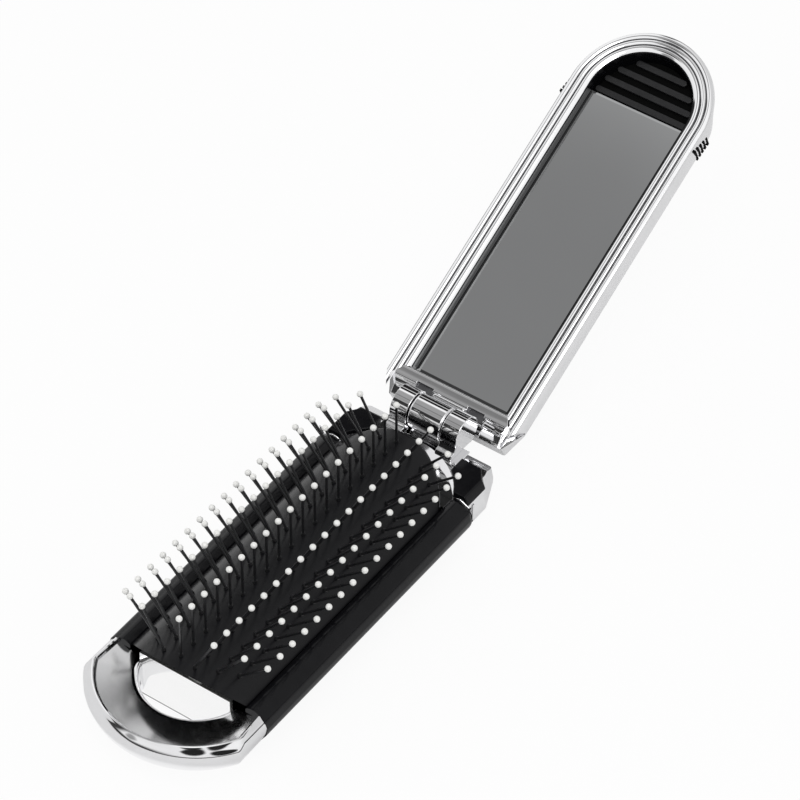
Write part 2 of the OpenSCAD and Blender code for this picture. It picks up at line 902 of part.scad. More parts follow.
// The shell's half section drawn in by depth at the side and the back.
module offset_shell(depth) {
    polygon([
        [0, -cover_back_h + depth],
        [cover_edge_low - 0.5, -cover_back_h + depth],
        [cover_r - depth - 0.25, -seam_h - 1.6],
        [cover_r - depth - 0.25, 0],
        [0, 0]
    ]);
}

module back_grip() {
    color([0.04, 0.04, 0.045])
    on_cover()
        difference() {
            intersection() {
                round_run(cover_near)
                    polygon(shell_outline);
                back_grip_room(fit);
            }
            for (i = [0:tooth_count - 1])
                translate([0, grip_v0 + 0.9 + i * tooth_pitch, 0]) {
                    span([cover_r - 0.55, 0, -far], [far, 0.5, 0]);
                    span([-far, 0, -far], [0.55 - cover_r, 0.5, 0]);
                    span([-far, 0, -far], [far, 0.5, 0.35 - cover_back_h]);
                }
        }
}

tray_t = 0.6;
backing_t = 0.3;
tray_wall_x = rim_inner_r - fit;
tray_floor_h = mirror_h + glass_t + backing_t + 2 * fit;
mirror_v1 = mirror_v0 + mirror_len;

module mirror_tray() {
    color([0.03, 0.03, 0.035])
    on_cover()
        difference() {
            tray_block(tray_wall_x, -tray_floor_h - tray_t, -rim_h - rim_slope - 0.3, 7.9);
            span(
                [-mirror_w / 2 - fit, mirror_v0 - fit, -tray_floor_h],
                [mirror_w / 2 + fit, mirror_v1 + fit, far]
            );
            tray_block(tray_wall_x - 0.6, -mirror_h - glass_t, far, mirror_v1 + fit);
        }
}

// A block with the window's outline: straight sides and a round far end.
module tray_block(r, h0, h1, v0) {
    span([-r, v0, h0], [r, cover_len, h1]);
    intersection() {
        translate([0, cover_len, h0])
            cylinder(r = r, h = h1 - h0, $fn = 96);
        span([-r, v0, h0], [r, far, h1]);
    }
}

module mirror_backing() {
    color([0.6, 0.6, 0.6])
    on_cover()
        span([1 - mirror_w / 2, mirror_v0 + 1, -mirror_h - glass_t - fit / 2 - backing_t],
             [mirror_w / 2 - 1, mirror_v1 - 1, -mirror_h - glass_t - fit / 2]);
}

// A half section whose top corner is ground down; mirrored and run along the glass.
module mirror_glass() {
    color([0.8, 0.85, 0.9])
    on_cover()
        difference() {
            span([-mirror_w / 2, mirror_v0, -mirror_h - glass_t], [mirror_w / 2, mirror_v1, -mirror_h]);
            for (side = [0, 1])
                mirror([side, 0, 0])
                    along_y(0, far)
                        polygon([
                            [mirror_w / 2 - bevel_w, 1 - mirror_h], [mirror_w / 2 - bevel_w, -mirror_h],
                            [mirror_w / 2, -mirror_h - 0.25], [far, -mirror_h - 0.25], [far, 1 - mirror_h]
                        ]);
        }
}

rib_top_h = mirror_h + 0.05;
rib_low_h = mirror_h + glass_t;

module grip_insert() {
    color([0.04, 0.04, 0.045])
    on_cover()
        intersection() {
            union() {
                span([-far, mirror_v1 + 2 * fit, fit - rib_low_h], [far, far, 0.5 - rib_low_h]);
                for (i = [0:rib_count - 1])
                    translate([0, mirror_v1 + 0.45 + i * rib_pitch, 0])
                        span([-far, 0, fit - rib_low_h], [far, rib_w, -rib_top_h]);
            }
            tray_block(tray_wall_x - 0.6 - fit, -far, far, mirror_v1 + fit);
        }
}

notch_x = [4.1, 8];
notch_v = 5.6;
knuckle_arm_v = 6.2;

// The bar across the cover's near end; its front edge slopes down towards the hinge.
module bar_block() {
    difference() {
        translate([0, 0, -seam_h])
            linear_extrude(seam_h - bar_top_h)
                polygon(both_sides([for (i = [3:-1:0]) bar_plan[i]]));
        across_x(-far, far)
            polygon([[-1, 1], [bar_plan[2].y, 1], [bar_plan[2].y, -bar_top_h],
                     [bar_plan[3].y, -bar_low_h], [-1, -bar_low_h]]);
        for (side = [0, 1])
            mirror([side, 0, 0])
                span([notch_x[0], 0, -far], [notch_x[1], notch_v, far]);
    }
}

module cover_hinge_bar() {
    color("silver")
    on_cover()
        difference() {
            union() {
                bar_block();
                across_x(-mid_knuckle_w / 2, mid_knuckle_w / 2)
                    polygon([
                        [knuckle_r * 0.13, -knuckle_r * 0.7], [knuckle_r * 0.13, knuckle_r * 0.6],
                        [knuckle_r * 0.83, knuckle_r * 0.05], [bar_plan[2].y + 0.2, -bar_top_h + 0.5],
                        [knuckle_arm_v, -bar_top_h - 0.3], [knuckle_arm_v, -seam_h + 0.5],
                        [bar_plan[3].y - 0.16, -seam_h + 0.5]
                    ]);
                barrel(mid_knuckle_w, 0, 0);
            }
            rotate([0, 90, 0])
                cylinder(r = hinge_pin_d / 2 + pin_clearance, h = far, center = true);
            for (x = bar_screw_x)
                translate([x, bar_screw_v, -far])
                    cylinder(d = bar_screw_d + 2 * fit, h = far - bar_top_h - 1);
        }
}

bar_screw_x = [-10, 10];
bar_screw_v = 6;
bar_screw_d = 1.2;
bar_head_d = 2.2;
bar_head_t = 0.6;
bar_screw_len = 2;

// Screws from inside the back shell up into the hinge bar.
module bar_screws() {
    color("silver")
    on_cover()
        for (x = bar_screw_x)
            translate([x, bar_screw_v, 0]) {
                translate([0, 0, -seam_h - bar_head_t - fit])
                    cylinder(d = bar_head_d, h = bar_head_t);
                translate([0, 0, -seam_h - 2 * fit])
                    cylinder(d = bar_screw_d, h = bar_screw_len);
            }
}

body_housing();
back_plate();
back_screws();
finger_loop();
hinge_block();
cap_plate_left();
cap_plate_right();
hinge_bracket();
hinge_pin();
pin_pad();
lift_springs();
pad_lifter();
pin_row(3, -1);  // pin_row_a
pin_row(2, -1);  // pin_row_b
pin_row(1, -1);  // pin_row_c
pin_row(0, 1);  // pin_row_d
pin_row(1, 1);  // pin_row_e
pin_row(2, 1);  // pin_row_f
pin_row(3, 1);  // pin_row_g
pin_tips(3, -1);  // pin_tips_a
pin_tips(2, -1);  // pin_tips_b
pin_tips(1, -1);  // pin_tips_c
pin_tips(0, 1);  // pin_tips_d
pin_tips(1, 1);  // pin_tips_e
pin_tips(2, 1);  // pin_tips_f
pin_tips(3, 1);  // pin_tips_g
cover_shell();
cover_frame();
cover_hinge_bar();
mirror_tray();
mirror_backing();
mirror_glass();
grip_insert();
back_grip();
bar_screws();
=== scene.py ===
# %% [markdown]
# # A folding hairbrush with a mirror in its cover
# The brush comes from the CAD model: every solid, its place and its joints. This lesson
# dresses that model. It works in millimetres in the CAD's own frame, so that each piece
# lies where its solid lies, and turns the numbers into metres when a mesh is made.

# %% Load the frame
import json
import math

import bmesh
import bpy
import numpy as np
from mathutils import Matrix, Vector


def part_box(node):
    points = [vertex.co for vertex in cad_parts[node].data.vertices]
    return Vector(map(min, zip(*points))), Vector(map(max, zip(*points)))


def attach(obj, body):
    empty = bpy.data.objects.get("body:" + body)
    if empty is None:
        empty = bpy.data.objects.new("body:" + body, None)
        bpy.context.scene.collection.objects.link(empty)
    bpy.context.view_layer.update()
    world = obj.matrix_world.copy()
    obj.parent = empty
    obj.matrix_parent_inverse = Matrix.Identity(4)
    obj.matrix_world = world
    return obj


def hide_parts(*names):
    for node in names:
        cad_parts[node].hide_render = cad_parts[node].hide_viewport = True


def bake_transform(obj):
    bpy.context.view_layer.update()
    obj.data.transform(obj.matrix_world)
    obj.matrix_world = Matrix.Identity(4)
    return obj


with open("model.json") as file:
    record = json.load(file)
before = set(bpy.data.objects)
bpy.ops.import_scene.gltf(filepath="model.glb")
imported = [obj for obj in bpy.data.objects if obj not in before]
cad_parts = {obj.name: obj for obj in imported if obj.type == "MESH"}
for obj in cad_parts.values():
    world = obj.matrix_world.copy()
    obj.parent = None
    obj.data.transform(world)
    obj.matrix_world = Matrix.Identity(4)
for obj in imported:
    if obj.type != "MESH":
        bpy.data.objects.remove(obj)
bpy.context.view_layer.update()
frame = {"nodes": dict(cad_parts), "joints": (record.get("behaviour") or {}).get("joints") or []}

MM = 0.001
hinge = next(j for j in frame["joints"] if j["name"] == "cover_hinge")
HINGE_Y, HINGE_Z = hinge["pos_m"][1] / MM, hinge["pos_m"][2] / MM
COVER_ANGLE = -hinge["range_deg"][0]
print(f"{len(frame['nodes'])} solids, the cover stands {COVER_ANGLE:.1f} degrees above flat")

# %% [markdown]
# ## The camera
# A long lens keeps the two halves almost free of perspective. The angles say where the
# camera looks from: azimuth is measured from the brush's length, elevation from the table.

# %% The camera
AZIMUTH, ELEVATION, ROLL = math.radians(35.598), math.radians(44.861), math.radians(0.07)
CAMERA_AT = (0.34520, -0.44731, 0.61965)
camera_data = bpy.data.cameras.new("camera")
camera_data.sensor_width = 36
camera_data.lens = 198.12
camera_data.clip_start = 0.01
camera = bpy.data.objects.new("camera", camera_data)
bpy.context.scene.collection.objects.link(camera)
backward = Vector((
    math.sin(AZIMUTH) * math.cos(ELEVATION),
    -math.cos(AZIMUTH) * math.cos(ELEVATION),
    math.sin(ELEVATION),
))
turn = backward.to_track_quat("Z", "Y").to_matrix().to_4x4()
camera.matrix_world = (
    Matrix.Translation(CAMERA_AT) @ turn @ Matrix.Rotation(ROLL, 4, "Z")
)
bpy.context.scene.camera = camera
print("lens", camera_data.lens, "mm")

# %% [markdown]
# ## Light, floor and background
# Chrome has no colour of its own: it shows what stands around it. So the room matters as
# much as the metal: broad white panels for its bright bands, and dark gaps for the thin
# black lines that make it look like metal. The camera sees plain white wherever it sees
# the room or the floor.

# %% Small tools for shader maths
class Wire:
    """A socket with arithmetic: an expression on wires adds the Math nodes it needs."""

    def __init__(self, tree, socket):
        self.tree, self.socket = tree, socket

    def math(self, operation, *others, swap=False):
        node = self.tree.nodes.new("ShaderNodeMath")
        node.operation = operation
        values = [self, *others]
        if swap:
            values.reverse()
        for slot, value in zip(node.inputs, values):
            if isinstance(value, Wire):
                self.tree.links.new(value.socket, slot)
            else:
                slot.default_value = value
        return Wire(self.tree, node.outputs[0])

    def __add__(self, other):
        return self.math("ADD", other)

    def __rsub__(self, other):
        return self.math("SUBTRACT", other, swap=True)

    def __mul__(self, other):
        return self.math("MULTIPLY", other)


class Shop:
    """A node tree with one method that adds any node."""

    def __init__(self, tree):
        self.tree = tree
        tree.nodes.clear()

    def add(self, kind, settings=None, **sockets):
        node = self.tree.nodes.new("ShaderNode" + kind)
        for name, value in (settings or {}).items():
            if name == "stops":
                fill_ramp(node.color_ramp, value)
            else:
                setattr(node, name, value)
        for name, value in sockets.items():
            slot = node.inputs[int(name[1:])] if name[0] == "i" and name[1:].isdigit() else (
                node.inputs[name.replace("_", " ")])
            if isinstance(value, Wire):
                self.tree.links.new(value.socket, slot)
            else:
                slot.default_value = value
        return node

    def wire(self, node, output=0):
        return Wire(self.tree, node.outputs[output])


def fill_ramp(ramp, stops):
    while len(ramp.elements) < len(stops):
        ramp.elements.new(0.5)
    for element, (place, grey) in zip(ramp.elements, stops):
        element.position = place
        element.color = (grey, grey, grey, 1)


# %% [markdown]
# ### The room
# Product pictures of chrome are lit with large white panels and dark gaps between them.
# Here the world is such a room. It starts as a height ramp: pale below, a thin dark band
# at the horizon, white above. Each patch then pulls one round part of it to a level of its
# own, with a soft border. The mirror looks up at the two grey patches at azimuth -114 and
# -116, the level faces at the dark one at -35. Going round the hinge barrel, the metal
# looks past several patches in turn, which gives it its bands.
# Camera rays skip the room and see white.

# %% The room
HEIGHT_STOPS = [(0.0, 0.7), (0.49, 0.7), (0.5, 0.05), (0.54, 0.05), (0.58, 0.92), (1.0, 1.12)]
# azimuth from +Y towards +X, elevation, full reach, faded reach (degrees), brightness
PANELS = [
    (25, 40, 34, 48, 0.72),
    (-35, 44, 5, 8.5, 0.02),
    (-25, 20, 12, 17, 0.02),
    (-54, 10, 7, 11, 0.95),
    (-75, 66, 6, 16, 0.38),
    (-114, 64, 8, 14, 0.38),
    (-115.8, 63.7, 0.1, 4, 0.22),
    (-86, 12, 9, 15, 0.03),
    (-137, 55, 4, 9, 0.34),
    (-148, 39, 6, 13, 0.04),
    (-154, 17, 4, 10, 0.35),
    (122, 20, 9, 13, 0.02),
    (150, 24, 9, 13, 0.02),
]
world = bpy.data.worlds.new("room")
bpy.context.scene.world = world
world.use_nodes = True
room = Shop(world.node_tree)
looking = room.wire(room.add("TexCoord"), 0)
height = room.wire(room.add("SeparateXYZ", Vector=looking), 2) * 0.5 + 0.5
light = room.wire(room.add("ValToRGB", {"stops": HEIGHT_STOPS}, Fac=height))
for azimuth, elevation, full, faded, level in PANELS:
    az, el = math.radians(azimuth), math.radians(elevation)
    towards = (math.sin(az) * math.cos(el), math.cos(az) * math.cos(el), math.sin(el))
    near = room.add("VectorMath", {"operation": "DOT_PRODUCT"}, i0=looking, i1=towards)
    patch = room.add(
        "MapRange", {"interpolation_type": "SMOOTHERSTEP"}, Value=room.wire(near, 1),
        From_Min=math.cos(math.radians(faded)), From_Max=math.cos(math.radians(full)),
    )
    light = light + (level - light) * room.wire(patch)
seen = room.wire(room.add("LightPath"), 0)
walls = room.add("Background", Color=light, Strength=1.0)
plain = room.add("Background", Color=(1, 1, 1, 1), Strength=1.0)
either = room.add("MixShader", i0=seen, i1=room.wire(walls), i2=room.wire(plain))
room.add("OutputWorld", Surface=room.wire(either))
print("panels and gaps", len(PANELS))


# %% Lamps
def soft_box(name, at, target, size, power):
    data = bpy.data.lights.new(name, "AREA")
    data.shape = "RECTANGLE"
    data.size, data.size_y = size
    data.energy = power
    lamp = bpy.data.objects.new(name, data)
    bpy.context.scene.collection.objects.link(lamp)
    direction = Vector(target) - Vector(at)
    lamp.matrix_world = (
        Matrix.Translation(at) @ direction.to_track_quat("-Z", "Y").to_matrix().to_4x4()
    )
    return lamp


CENTRE = (0.0, 0.03, 0.02)
soft_box("key", (0.32, -0.38, 0.85), CENTRE, (0.5, 0.5), 2.5)

# %% [markdown]
# ### The floor
# The floor is a pale sheet. To the camera it is almost pure white, with the soft shadow
# of the brush kept. Metal sees some of that white too, most of it under the loop, so that
# the hole looks as white as the page around it.

# %% The floor
def flat_mesh(name, low, high, z):
    mesh = bpy.data.meshes.new(name)
    mesh.from_pydata(
        [(low[0], low[1], z), (high[0], low[1], z), (high[0], high[1], z), (low[0], high[1], z)],
        [], [(0, 1, 2, 3)],
    )
    thing = bpy.data.objects.new(name, mesh)
    bpy.context.scene.collection.objects.link(thing)
    return thing


LOOP_SPOT, SPOT_FULL, SPOT_FADED = (0.0, -0.038, 0.0), 0.013, 0.021
CAMERA_WHITE, METAL_WHITE, LOOP_WHITE = 0.93, 0.03, 0.92
floor = flat_mesh("floor", (-4, -4), (4, 4), 0.0)
paper = bpy.data.materials.new("paper")
paper.use_nodes = True
sheet = Shop(paper.node_tree)
rays = sheet.add("LightPath")
lit = sheet.add("BsdfDiffuse", Color=(0.8, 0.8, 0.8, 1))
glow = sheet.add("Emission", Color=(1, 1, 1, 1), Strength=1.0)
spot = sheet.add(
    "VectorMath", {"operation": "DISTANCE"}, i0=sheet.wire(sheet.add("TexCoord"), 3), i1=LOOP_SPOT,
)
under_loop = sheet.wire(sheet.add(
    "MapRange", {"interpolation_type": "SMOOTHERSTEP"}, Value=sheet.wire(spot, 1),
    From_Min=SPOT_FADED, From_Max=SPOT_FULL,
))
to_metal = under_loop * LOOP_WHITE + METAL_WHITE
share = sheet.wire(rays, 0) * CAMERA_WHITE + sheet.wire(rays, 3) * to_metal
blend = sheet.add("MixShader", i0=share, i1=sheet.wire(lit), i2=sheet.wire(glow))
sheet.add("OutputMaterial", Surface=sheet.wire(blend))
floor.data.materials.append(paper)

# %% [markdown]
# ## Tools for outlines and meshes
# Almost every piece here is an outline run along a path. `rounded` turns a few corners
# with radii into a smooth outline, `loft` joins a list of rings into one skin, and
# `piece` makes the Blender object, marks its sharp edges and says which body it rides on.

# %% Outlines
def arc(centre, radius, start, stop, steps):
    """Points on an arc, in degrees, both ends included."""
    angles = np.radians(np.linspace(start, stop, steps + 1))
    return [(centre[0] + radius * math.cos(a), centre[1] + radius * math.sin(a)) for a in angles]


def corner_arc(a, b, c, radius, steps):
    """The arc that rounds the corner b between a and c."""
    a, b, c = (np.array(p[:2], float) for p in (a, b, c))
    u = (a - b) / np.linalg.norm(a - b)
    w = (c - b) / np.linalg.norm(c - b)
    half = math.acos(np.clip(u @ w, -1, 1)) / 2
    middle = (u + w) / np.linalg.norm(u + w)
    centre = b + middle * radius / math.sin(half)
    first = b + u * radius / math.tan(half) - centre
    last = b + w * radius / math.tan(half) - centre
    start = math.atan2(first[1], first[0])
    turn = (math.atan2(last[1], last[0]) - start + math.pi) % (2 * math.pi) - math.pi
    return [
        (centre[0] + radius * math.cos(start + turn * i / steps),
         centre[1] + radius * math.sin(start + turn * i / steps))
        for i in range(steps + 1)
    ]


def rounded(corners, steps=8, closed=True):
    """An outline from (x, y, corner radius) points."""
    points = []
    for i, corner in enumerate(corners):
        at_end = not closed and i in (0, len(corners) - 1)
        if len(corner) < 3 or corner[2] == 0 or at_end:
            points.append(tuple(corner[:2]))
        else:
            before, after = corners[i - 1], corners[(i + 1) % len(corners)]
            points.extend(corner_arc(before, corner, after, corner[2], steps))
    return points


# %% Meshes
def loft(rings, ring_closed=True, caps=True):
    """Vertices and faces of a skin through rings of equal length."""
    rings = np.asarray(rings, float)
    count, size = rings.shape[:2]
    vertices = rings.reshape(-1, 3)
    faces = []
    for i in range(count - 1):
        for j in range(size if ring_closed else size - 1):
            a, b = i * size + j, i * size + (j + 1) % size
            c, d = b + size, a + size
            faces.append((a, b, c, d))
    if caps and ring_closed:
        faces.append(tuple(range(size - 1, -1, -1)))
        faces.append(tuple(range((count - 1) * size, count * size)))
    return vertices, faces


def joined(*parts):
    """Several (vertices, faces) parts as one."""
    vertices, faces, start = [], [], 0
    for part_vertices, part_faces in parts:
        vertices.append(np.asarray(part_vertices, float))
        faces.extend(tuple(start + i for i in face) for face in part_faces)
        start += len(part_vertices)
    return np.concatenate(vertices), faces


def bare_piece(name, skin):
    """A Blender object from a skin in millimetres, with its faces turned outwards."""
    vertices, faces = skin
    mesh = bpy.data.meshes.new(name)
    mesh.from_pydata((np.asarray(vertices) * MM).tolist(), [], faces)
    work = bmesh.new()
    work.from_mesh(mesh)
    bmesh.ops.remove_doubles(work, verts=work.verts, dist=1e-7)
    bmesh.ops.recalc_face_normals(work, faces=work.faces)
    work.to_mesh(mesh)
    work.free()
    thing = bpy.data.objects.new(name, mesh)
    bpy.context.scene.collection.objects.link(thing)
    return thing


def finish_edges(thing, bevel=0.0, sharp=35):
    """Smooth shading with sharp edges, and a small bevel on them if asked."""
    mesh = thing.data
    mesh.polygons.foreach_set("use_smooth", [True] * len(mesh.polygons))
    mesh.set_sharp_from_angle(angle=math.radians(sharp))
    if bevel:
        edge = thing.modifiers.new("edge", "BEVEL")
        edge.width = bevel * MM
        edge.segments = 2
        edge.limit_method = "ANGLE"
        edge.angle_limit = math.radians(sharp)
        edge.harden_normals = True
    return thing


def piece(name, skin, finish, body, stands_for=(), bevel=0.0, sharp=35, on_cover=False):
    """Makes a piece, gives it its finish and lets it ride on a body."""
    thing = bare_piece(name, skin)
    finish_edges(thing, bevel, sharp)
    return dress(thing, finish, body, stands_for, on_cover)


def dress(thing, finish, body, stands_for=(), on_cover=False):
    if on_cover:
        thing.data.transform(COVER_PLACE)
    thing.data.materials.clear()
    thing.data.materials.append(finish)
    if body:
        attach(thing, body)
    if stands_for:
        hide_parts(*stands_for)
    return thing


COVER_PLACE = (
    Matrix.Translation((0, HINGE_Y * MM, HINGE_Z * MM))
    @ Matrix.Rotation(math.radians(COVER_ANGLE), 4, "X")
)

# %% [markdown]
# ## Finishes
# The brush has few materials, and most are glossy, so small things tell them apart: how
# wide a highlight is, how it wavers, and what dust and handling have done to it.
# Plated plastic is never as flat as machined metal, so the chrome gets a very long,
# very low waviness. Moulded black gets a finer one, and the rubber pad a soft grain.

# %% A finish starts the same way each time
def finish(name, slot):
    material = bpy.data.materials.new(name)
    material.use_nodes = True
    material["slot"] = slot
    return material, Shop(material.node_tree)


def close(shop, waves=None, bump=0.0, **sockets):
    """The shader itself. waves and bump give its surface a relief of that many metres."""
    if waves is not None:
        relief = shop.add("Bump", Strength=1.0, Distance=bump, Height=waves)
        sockets["Normal"] = shop.wire(relief)
    shader = shop.add("BsdfPrincipled", **sockets)
    shop.add("OutputMaterial", Surface=shop.wire(shader))


def noise(shop, scale, detail=2.0, stretch=(1, 1, 1)):
    """Noise over the object's own coordinates; scale is in features per metre."""
    place = shop.add("TexCoord")
    spread = shop.add("Mapping", Vector=shop.wire(place, 3), Scale=stretch)
    cloud = shop.add("TexNoise", Vector=shop.wire(spread), Scale=scale, Detail=detail)
    return shop.wire(cloud, 0)


def tint(shop, share, dark, light):
    """A colour between two, chosen by a share from 0 to 1."""
    mix = shop.add("Mix", {"data_type": "RGBA"}, i0=share, i6=(*dark, 1), i7=(*light, 1))
    return shop.wire(mix, 2)


# %% Chrome
chrome, shop = finish("plated_chrome", "chrome")
cloud = noise(shop, 240)
close(
    shop, waves=noise(shop, 90, 1.0), bump=0.000012, Metallic=1.0,
    Base_Color=tint(shop, cloud, (0.80, 0.80, 0.81), (0.88, 0.88, 0.89)),
    Roughness=cloud * 0.05 + 0.03,
)

# The wall across the loop is plated too, but it looks at the pale floor through the hole
# and shows nothing else, so its plating is painted brighter and duller: a painted reflection
# of that floor. A dull dark metal paints the shade in the creases between the swellings as
# fine lines.
painted_bright_wall, shop = finish("painted_reflection_plating", "chrome")
cloud = noise(shop, 240)
close(
    shop, Metallic=0.9,
    Base_Color=tint(shop, cloud, (0.96, 0.96, 0.96), (0.98, 0.98, 0.98)),
    Roughness=cloud * 0.05 + 0.1,
)
satin_chrome, shop = finish("satin_chrome", "chrome")
cloud = noise(shop, 240)
close(
    shop, Metallic=1.0,
    Base_Color=tint(shop, cloud, (0.78, 0.78, 0.79), (0.86, 0.86, 0.87)),
    Roughness=cloud * 0.04 + 0.13,
)
# A dull dark metal that paints shade: fine lines in the rim's creases and the floors of the notches.
painted_shade_metal, shop = finish("painted_shade_metal", "chrome")
cloud = noise(shop, 700)
close(
    shop, Metallic=1.0,
    Base_Color=tint(shop, cloud, (0.07, 0.07, 0.075), (0.12, 0.12, 0.125)),
    Roughness=cloud * 0.1 + 0.35,
)

# %% Black plastic, black rubber and black wire
gloss_black, shop = finish("polished_black", "gloss_black")
cloud = noise(shop, 300)
close(
    shop, waves=noise(shop, 150, 1.0), bump=0.00001,
    Base_Color=tint(shop, cloud, (0.002, 0.002, 0.003), (0.006, 0.006, 0.007)),
    Roughness=cloud * 0.08 + 0.14, Specular_IOR_Level=0.2,
)
rubber, shop = finish("black_rubber", "pad_rubber")
cloud = noise(shop, 500)
close(
    shop, waves=noise(shop, 2600, 3.0), bump=0.000008,
    Base_Color=tint(shop, cloud, (0.002, 0.002, 0.003), (0.006, 0.006, 0.007)),
    Roughness=cloud * 0.1 + 0.2, Specular_IOR_Level=0.24,
)
rib_black, shop = finish("satin_black", "gloss_black")
cloud = noise(shop, 600)
close(
    shop, waves=cloud, bump=0.000005,
    Base_Color=tint(shop, cloud, (0.006, 0.006, 0.007), (0.012, 0.012, 0.013)),
    Roughness=cloud * 0.1 + 0.28, Specular_IOR_Level=0.4,
)
# A dull black for the bottoms of recesses: the plastic's own black, kept darker and duller than the ribs
# as painted shade.
recess_shade_black, shop = finish("recess_shade_black", "gloss_black")
cloud = noise(shop, 600)
close(
    shop, Base_Color=tint(shop, cloud, (0.001, 0.001, 0.001), (0.003, 0.003, 0.003)),
    Roughness=cloud * 0.1 + 0.7, Specular_IOR_Level=0.05,
)
wire_black, shop = finish("wire_black", "pin_black")
cloud = noise(shop, 900)
close(
    shop, waves=cloud, bump=0.000006,
    Base_Color=tint(shop, cloud, (0.005, 0.005, 0.006), (0.014, 0.014, 0.015)),
    Roughness=cloud * 0.15 + 0.22,
)

# %% White ball tips
tip_white, shop = finish("white_tip", "tip_white")
cloud = noise(shop, 1200)
close(
    shop, waves=cloud, bump=0.00001,
    Base_Color=tint(shop, cloud, (0.78, 0.78, 0.76), (0.88, 0.88, 0.86)),
    Roughness=cloud * 0.15 + 0.3,
)

# %% Mirror, steel and the plain plastic inside
mirror_glass, shop = finish("mirror_glass", "mirror")
cloud = noise(shop, 60)
close(
    shop, Metallic=1.0,
    Base_Color=tint(shop, cloud, (0.86, 0.87, 0.88), (0.9, 0.91, 0.92)),
    Roughness=cloud * 0.02 + 0.01,
)
steel, shop = finish("bright_steel", "steel")
grain = noise(shop, 2500, 2.0, stretch=(0.05, 1, 1))
close(
    shop, waves=grain, bump=0.000004, Metallic=1.0,
    Base_Color=tint(shop, grain, (0.5, 0.5, 0.51), (0.62, 0.62, 0.63)),
    Roughness=grain * 0.15 + 0.2,
)
inner_plastic, shop = finish("plain_plastic", "inner_plastic")
cloud = noise(shop, 800)
close(
    shop, waves=cloud, bump=0.00002,
    Base_Color=tint(shop, cloud, (0.66, 0.66, 0.64), (0.76, 0.76, 0.74)),
    Roughness=cloud * 0.1 + 0.5,
)
print("finishes", len(bpy.data.materials))

# %% [markdown]
# The solids that stay as they are get their finish straight away: those inside, and small
# parts whose CAD shape is already right.

# %% Solids that stay
KEPT = {
    "back_plate": gloss_black, "back_screws": steel, "hinge_pin": steel,
    "lift_springs": steel, "pad_lifter": inner_plastic, "mirror_backing": inner_plastic,
    "bar_screws": steel,
}
for name, material in KEPT.items():
    solid = frame["nodes"][name]
    solid.data.materials.clear()
    solid.data.materials.append(material)
    finish_edges(solid)
print("kept", ", ".join(KEPT))

# %% [markdown]
# ## The brush body
# The real body is one moulding: flat back, sides that flare outwards, and two crowned
# rails beside the pad. A section run straight along the brush makes it, so that its
# reflections run in clean long lines.

# %% Sizes of the body, from the solids
def extent(node):
    low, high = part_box(node)
    return low / MM, high / MM


housing_low, housing_high = extent("body_housing")
BODY_Y0, BODY_Y1 = housing_low.y, housing_high.y
HALF_W = housing_high.x
RAIL_Z = 12.0
RAIL_CROWN = 0.7
PAD_EDGE_X = 13.3
PAD_END_Y, PAD_END_R = 21.8, 15.3
HALF_BACK = 13.3
BELLY_Z = 8.8
WALL = 1.0
PLATE_X = 11.1

BODY_EDGE = [
    (PLATE_X, 0),
    (HALF_BACK, 0, 1.6),
    (HALF_W, BELLY_Z - 0.9, 2.5),
    (HALF_W, BELLY_Z + 0.5, 1.5),
    (HALF_W - 0.45, RAIL_Z - 0.7, 1.6),
    (HALF_W - 3.4, RAIL_Z + RAIL_CROWN + 0.25, 2.2),
    (PAD_EDGE_X + 0.1, RAIL_Z, 0.25),
    (PAD_EDGE_X + 0.1, RAIL_Z - 1.0),
    (HALF_W - WALL - 1.4, RAIL_Z - 1.0),
    (HALF_W - WALL - 1.4, RAIL_Z - 2.8),
    (HALF_BACK - 0.1, 1.4),
    (PLATE_X, 1.4),
]

# %% [markdown]
# Two rails, each half of the section, and the wall that joins them under the pins. The
# back plate closes the gap between them. Each rail is drawn in a little where it ends.

# %% Body
RAIL_END = [
    (BODY_Y0, 0), (0, 0), (BODY_Y1 - 1.3, 0),
    (BODY_Y1 - 0.75, 0.08), (BODY_Y1 - 0.35, 0.28), (BODY_Y1, 0.6),
]


def body_half(side):
    outline = rounded(BODY_EDGE)
    centre_x, centre_z = 15.5, 7.0
    rings = []
    for y, inset in RAIL_END:
        rings.append([
            (side * (x - inset if x > centre_x else x), y, z - inset if z > centre_z + 2 else z)
            for x, z in outline
        ])
    return loft(rings)


def box_skin(low, high):
    """A plain block, only ever used as part of a larger piece."""
    x0, y0, z0 = low
    x1, y1, z1 = high
    ring = [(x0, z0), (x1, z0), (x1, z1), (x0, z1)]
    return loft([[(x, y, z) for x, z in ring] for y in (y0, y1)])


END_WALL_X, END_WALL_T, END_WALL_Z = 12.4, 1.2, 6.6
end_wall = box_skin((-END_WALL_X, BODY_Y0, 0), (END_WALL_X, BODY_Y0 + END_WALL_T, END_WALL_Z))
piece(
    "brush_body", joined(body_half(1), body_half(-1), end_wall),
    gloss_black, "base", ["body_housing"], bevel=0.12,
)
print("body", round(BODY_Y1 - BODY_Y0, 1), "mm long")


# %% [markdown]
# Where a rail ends, the chrome behind it shows as a thin bright line round the rail. A
# slim rod bent along the section draws that line.

# %% A bright bead where each rail ends against the chrome
def bead_line(side, radius=0.22):
    path = [(x, z) for x, z in rounded(BODY_EDGE[2:7])]
    path = [(x - 0.3 if x > 15.5 else x, z - 0.3) for x, z in path]
    rings = []
    for i, (x, z) in enumerate(path):
        before, after = path[max(i - 1, 0)], path[min(i + 1, len(path) - 1)]
        along = np.array([after[0] - before[0], after[1] - before[1]])
        out = np.array([along[1], -along[0]]) / np.linalg.norm(along)
        rings.append([
            (side * (x + radius * math.cos(a) * out[0]), BODY_Y1 - 0.12 + radius * math.sin(a),
             z + radius * math.cos(a) * out[1])
            for a in np.linspace(0, 2 * math.pi, 13)[:-1]
        ])
    return loft(rings)


beads = joined(bead_line(1), bead_line(-1))
piece("rail_end_beads", beads, chrome, "base", ["hinge_block"], sharp=60)

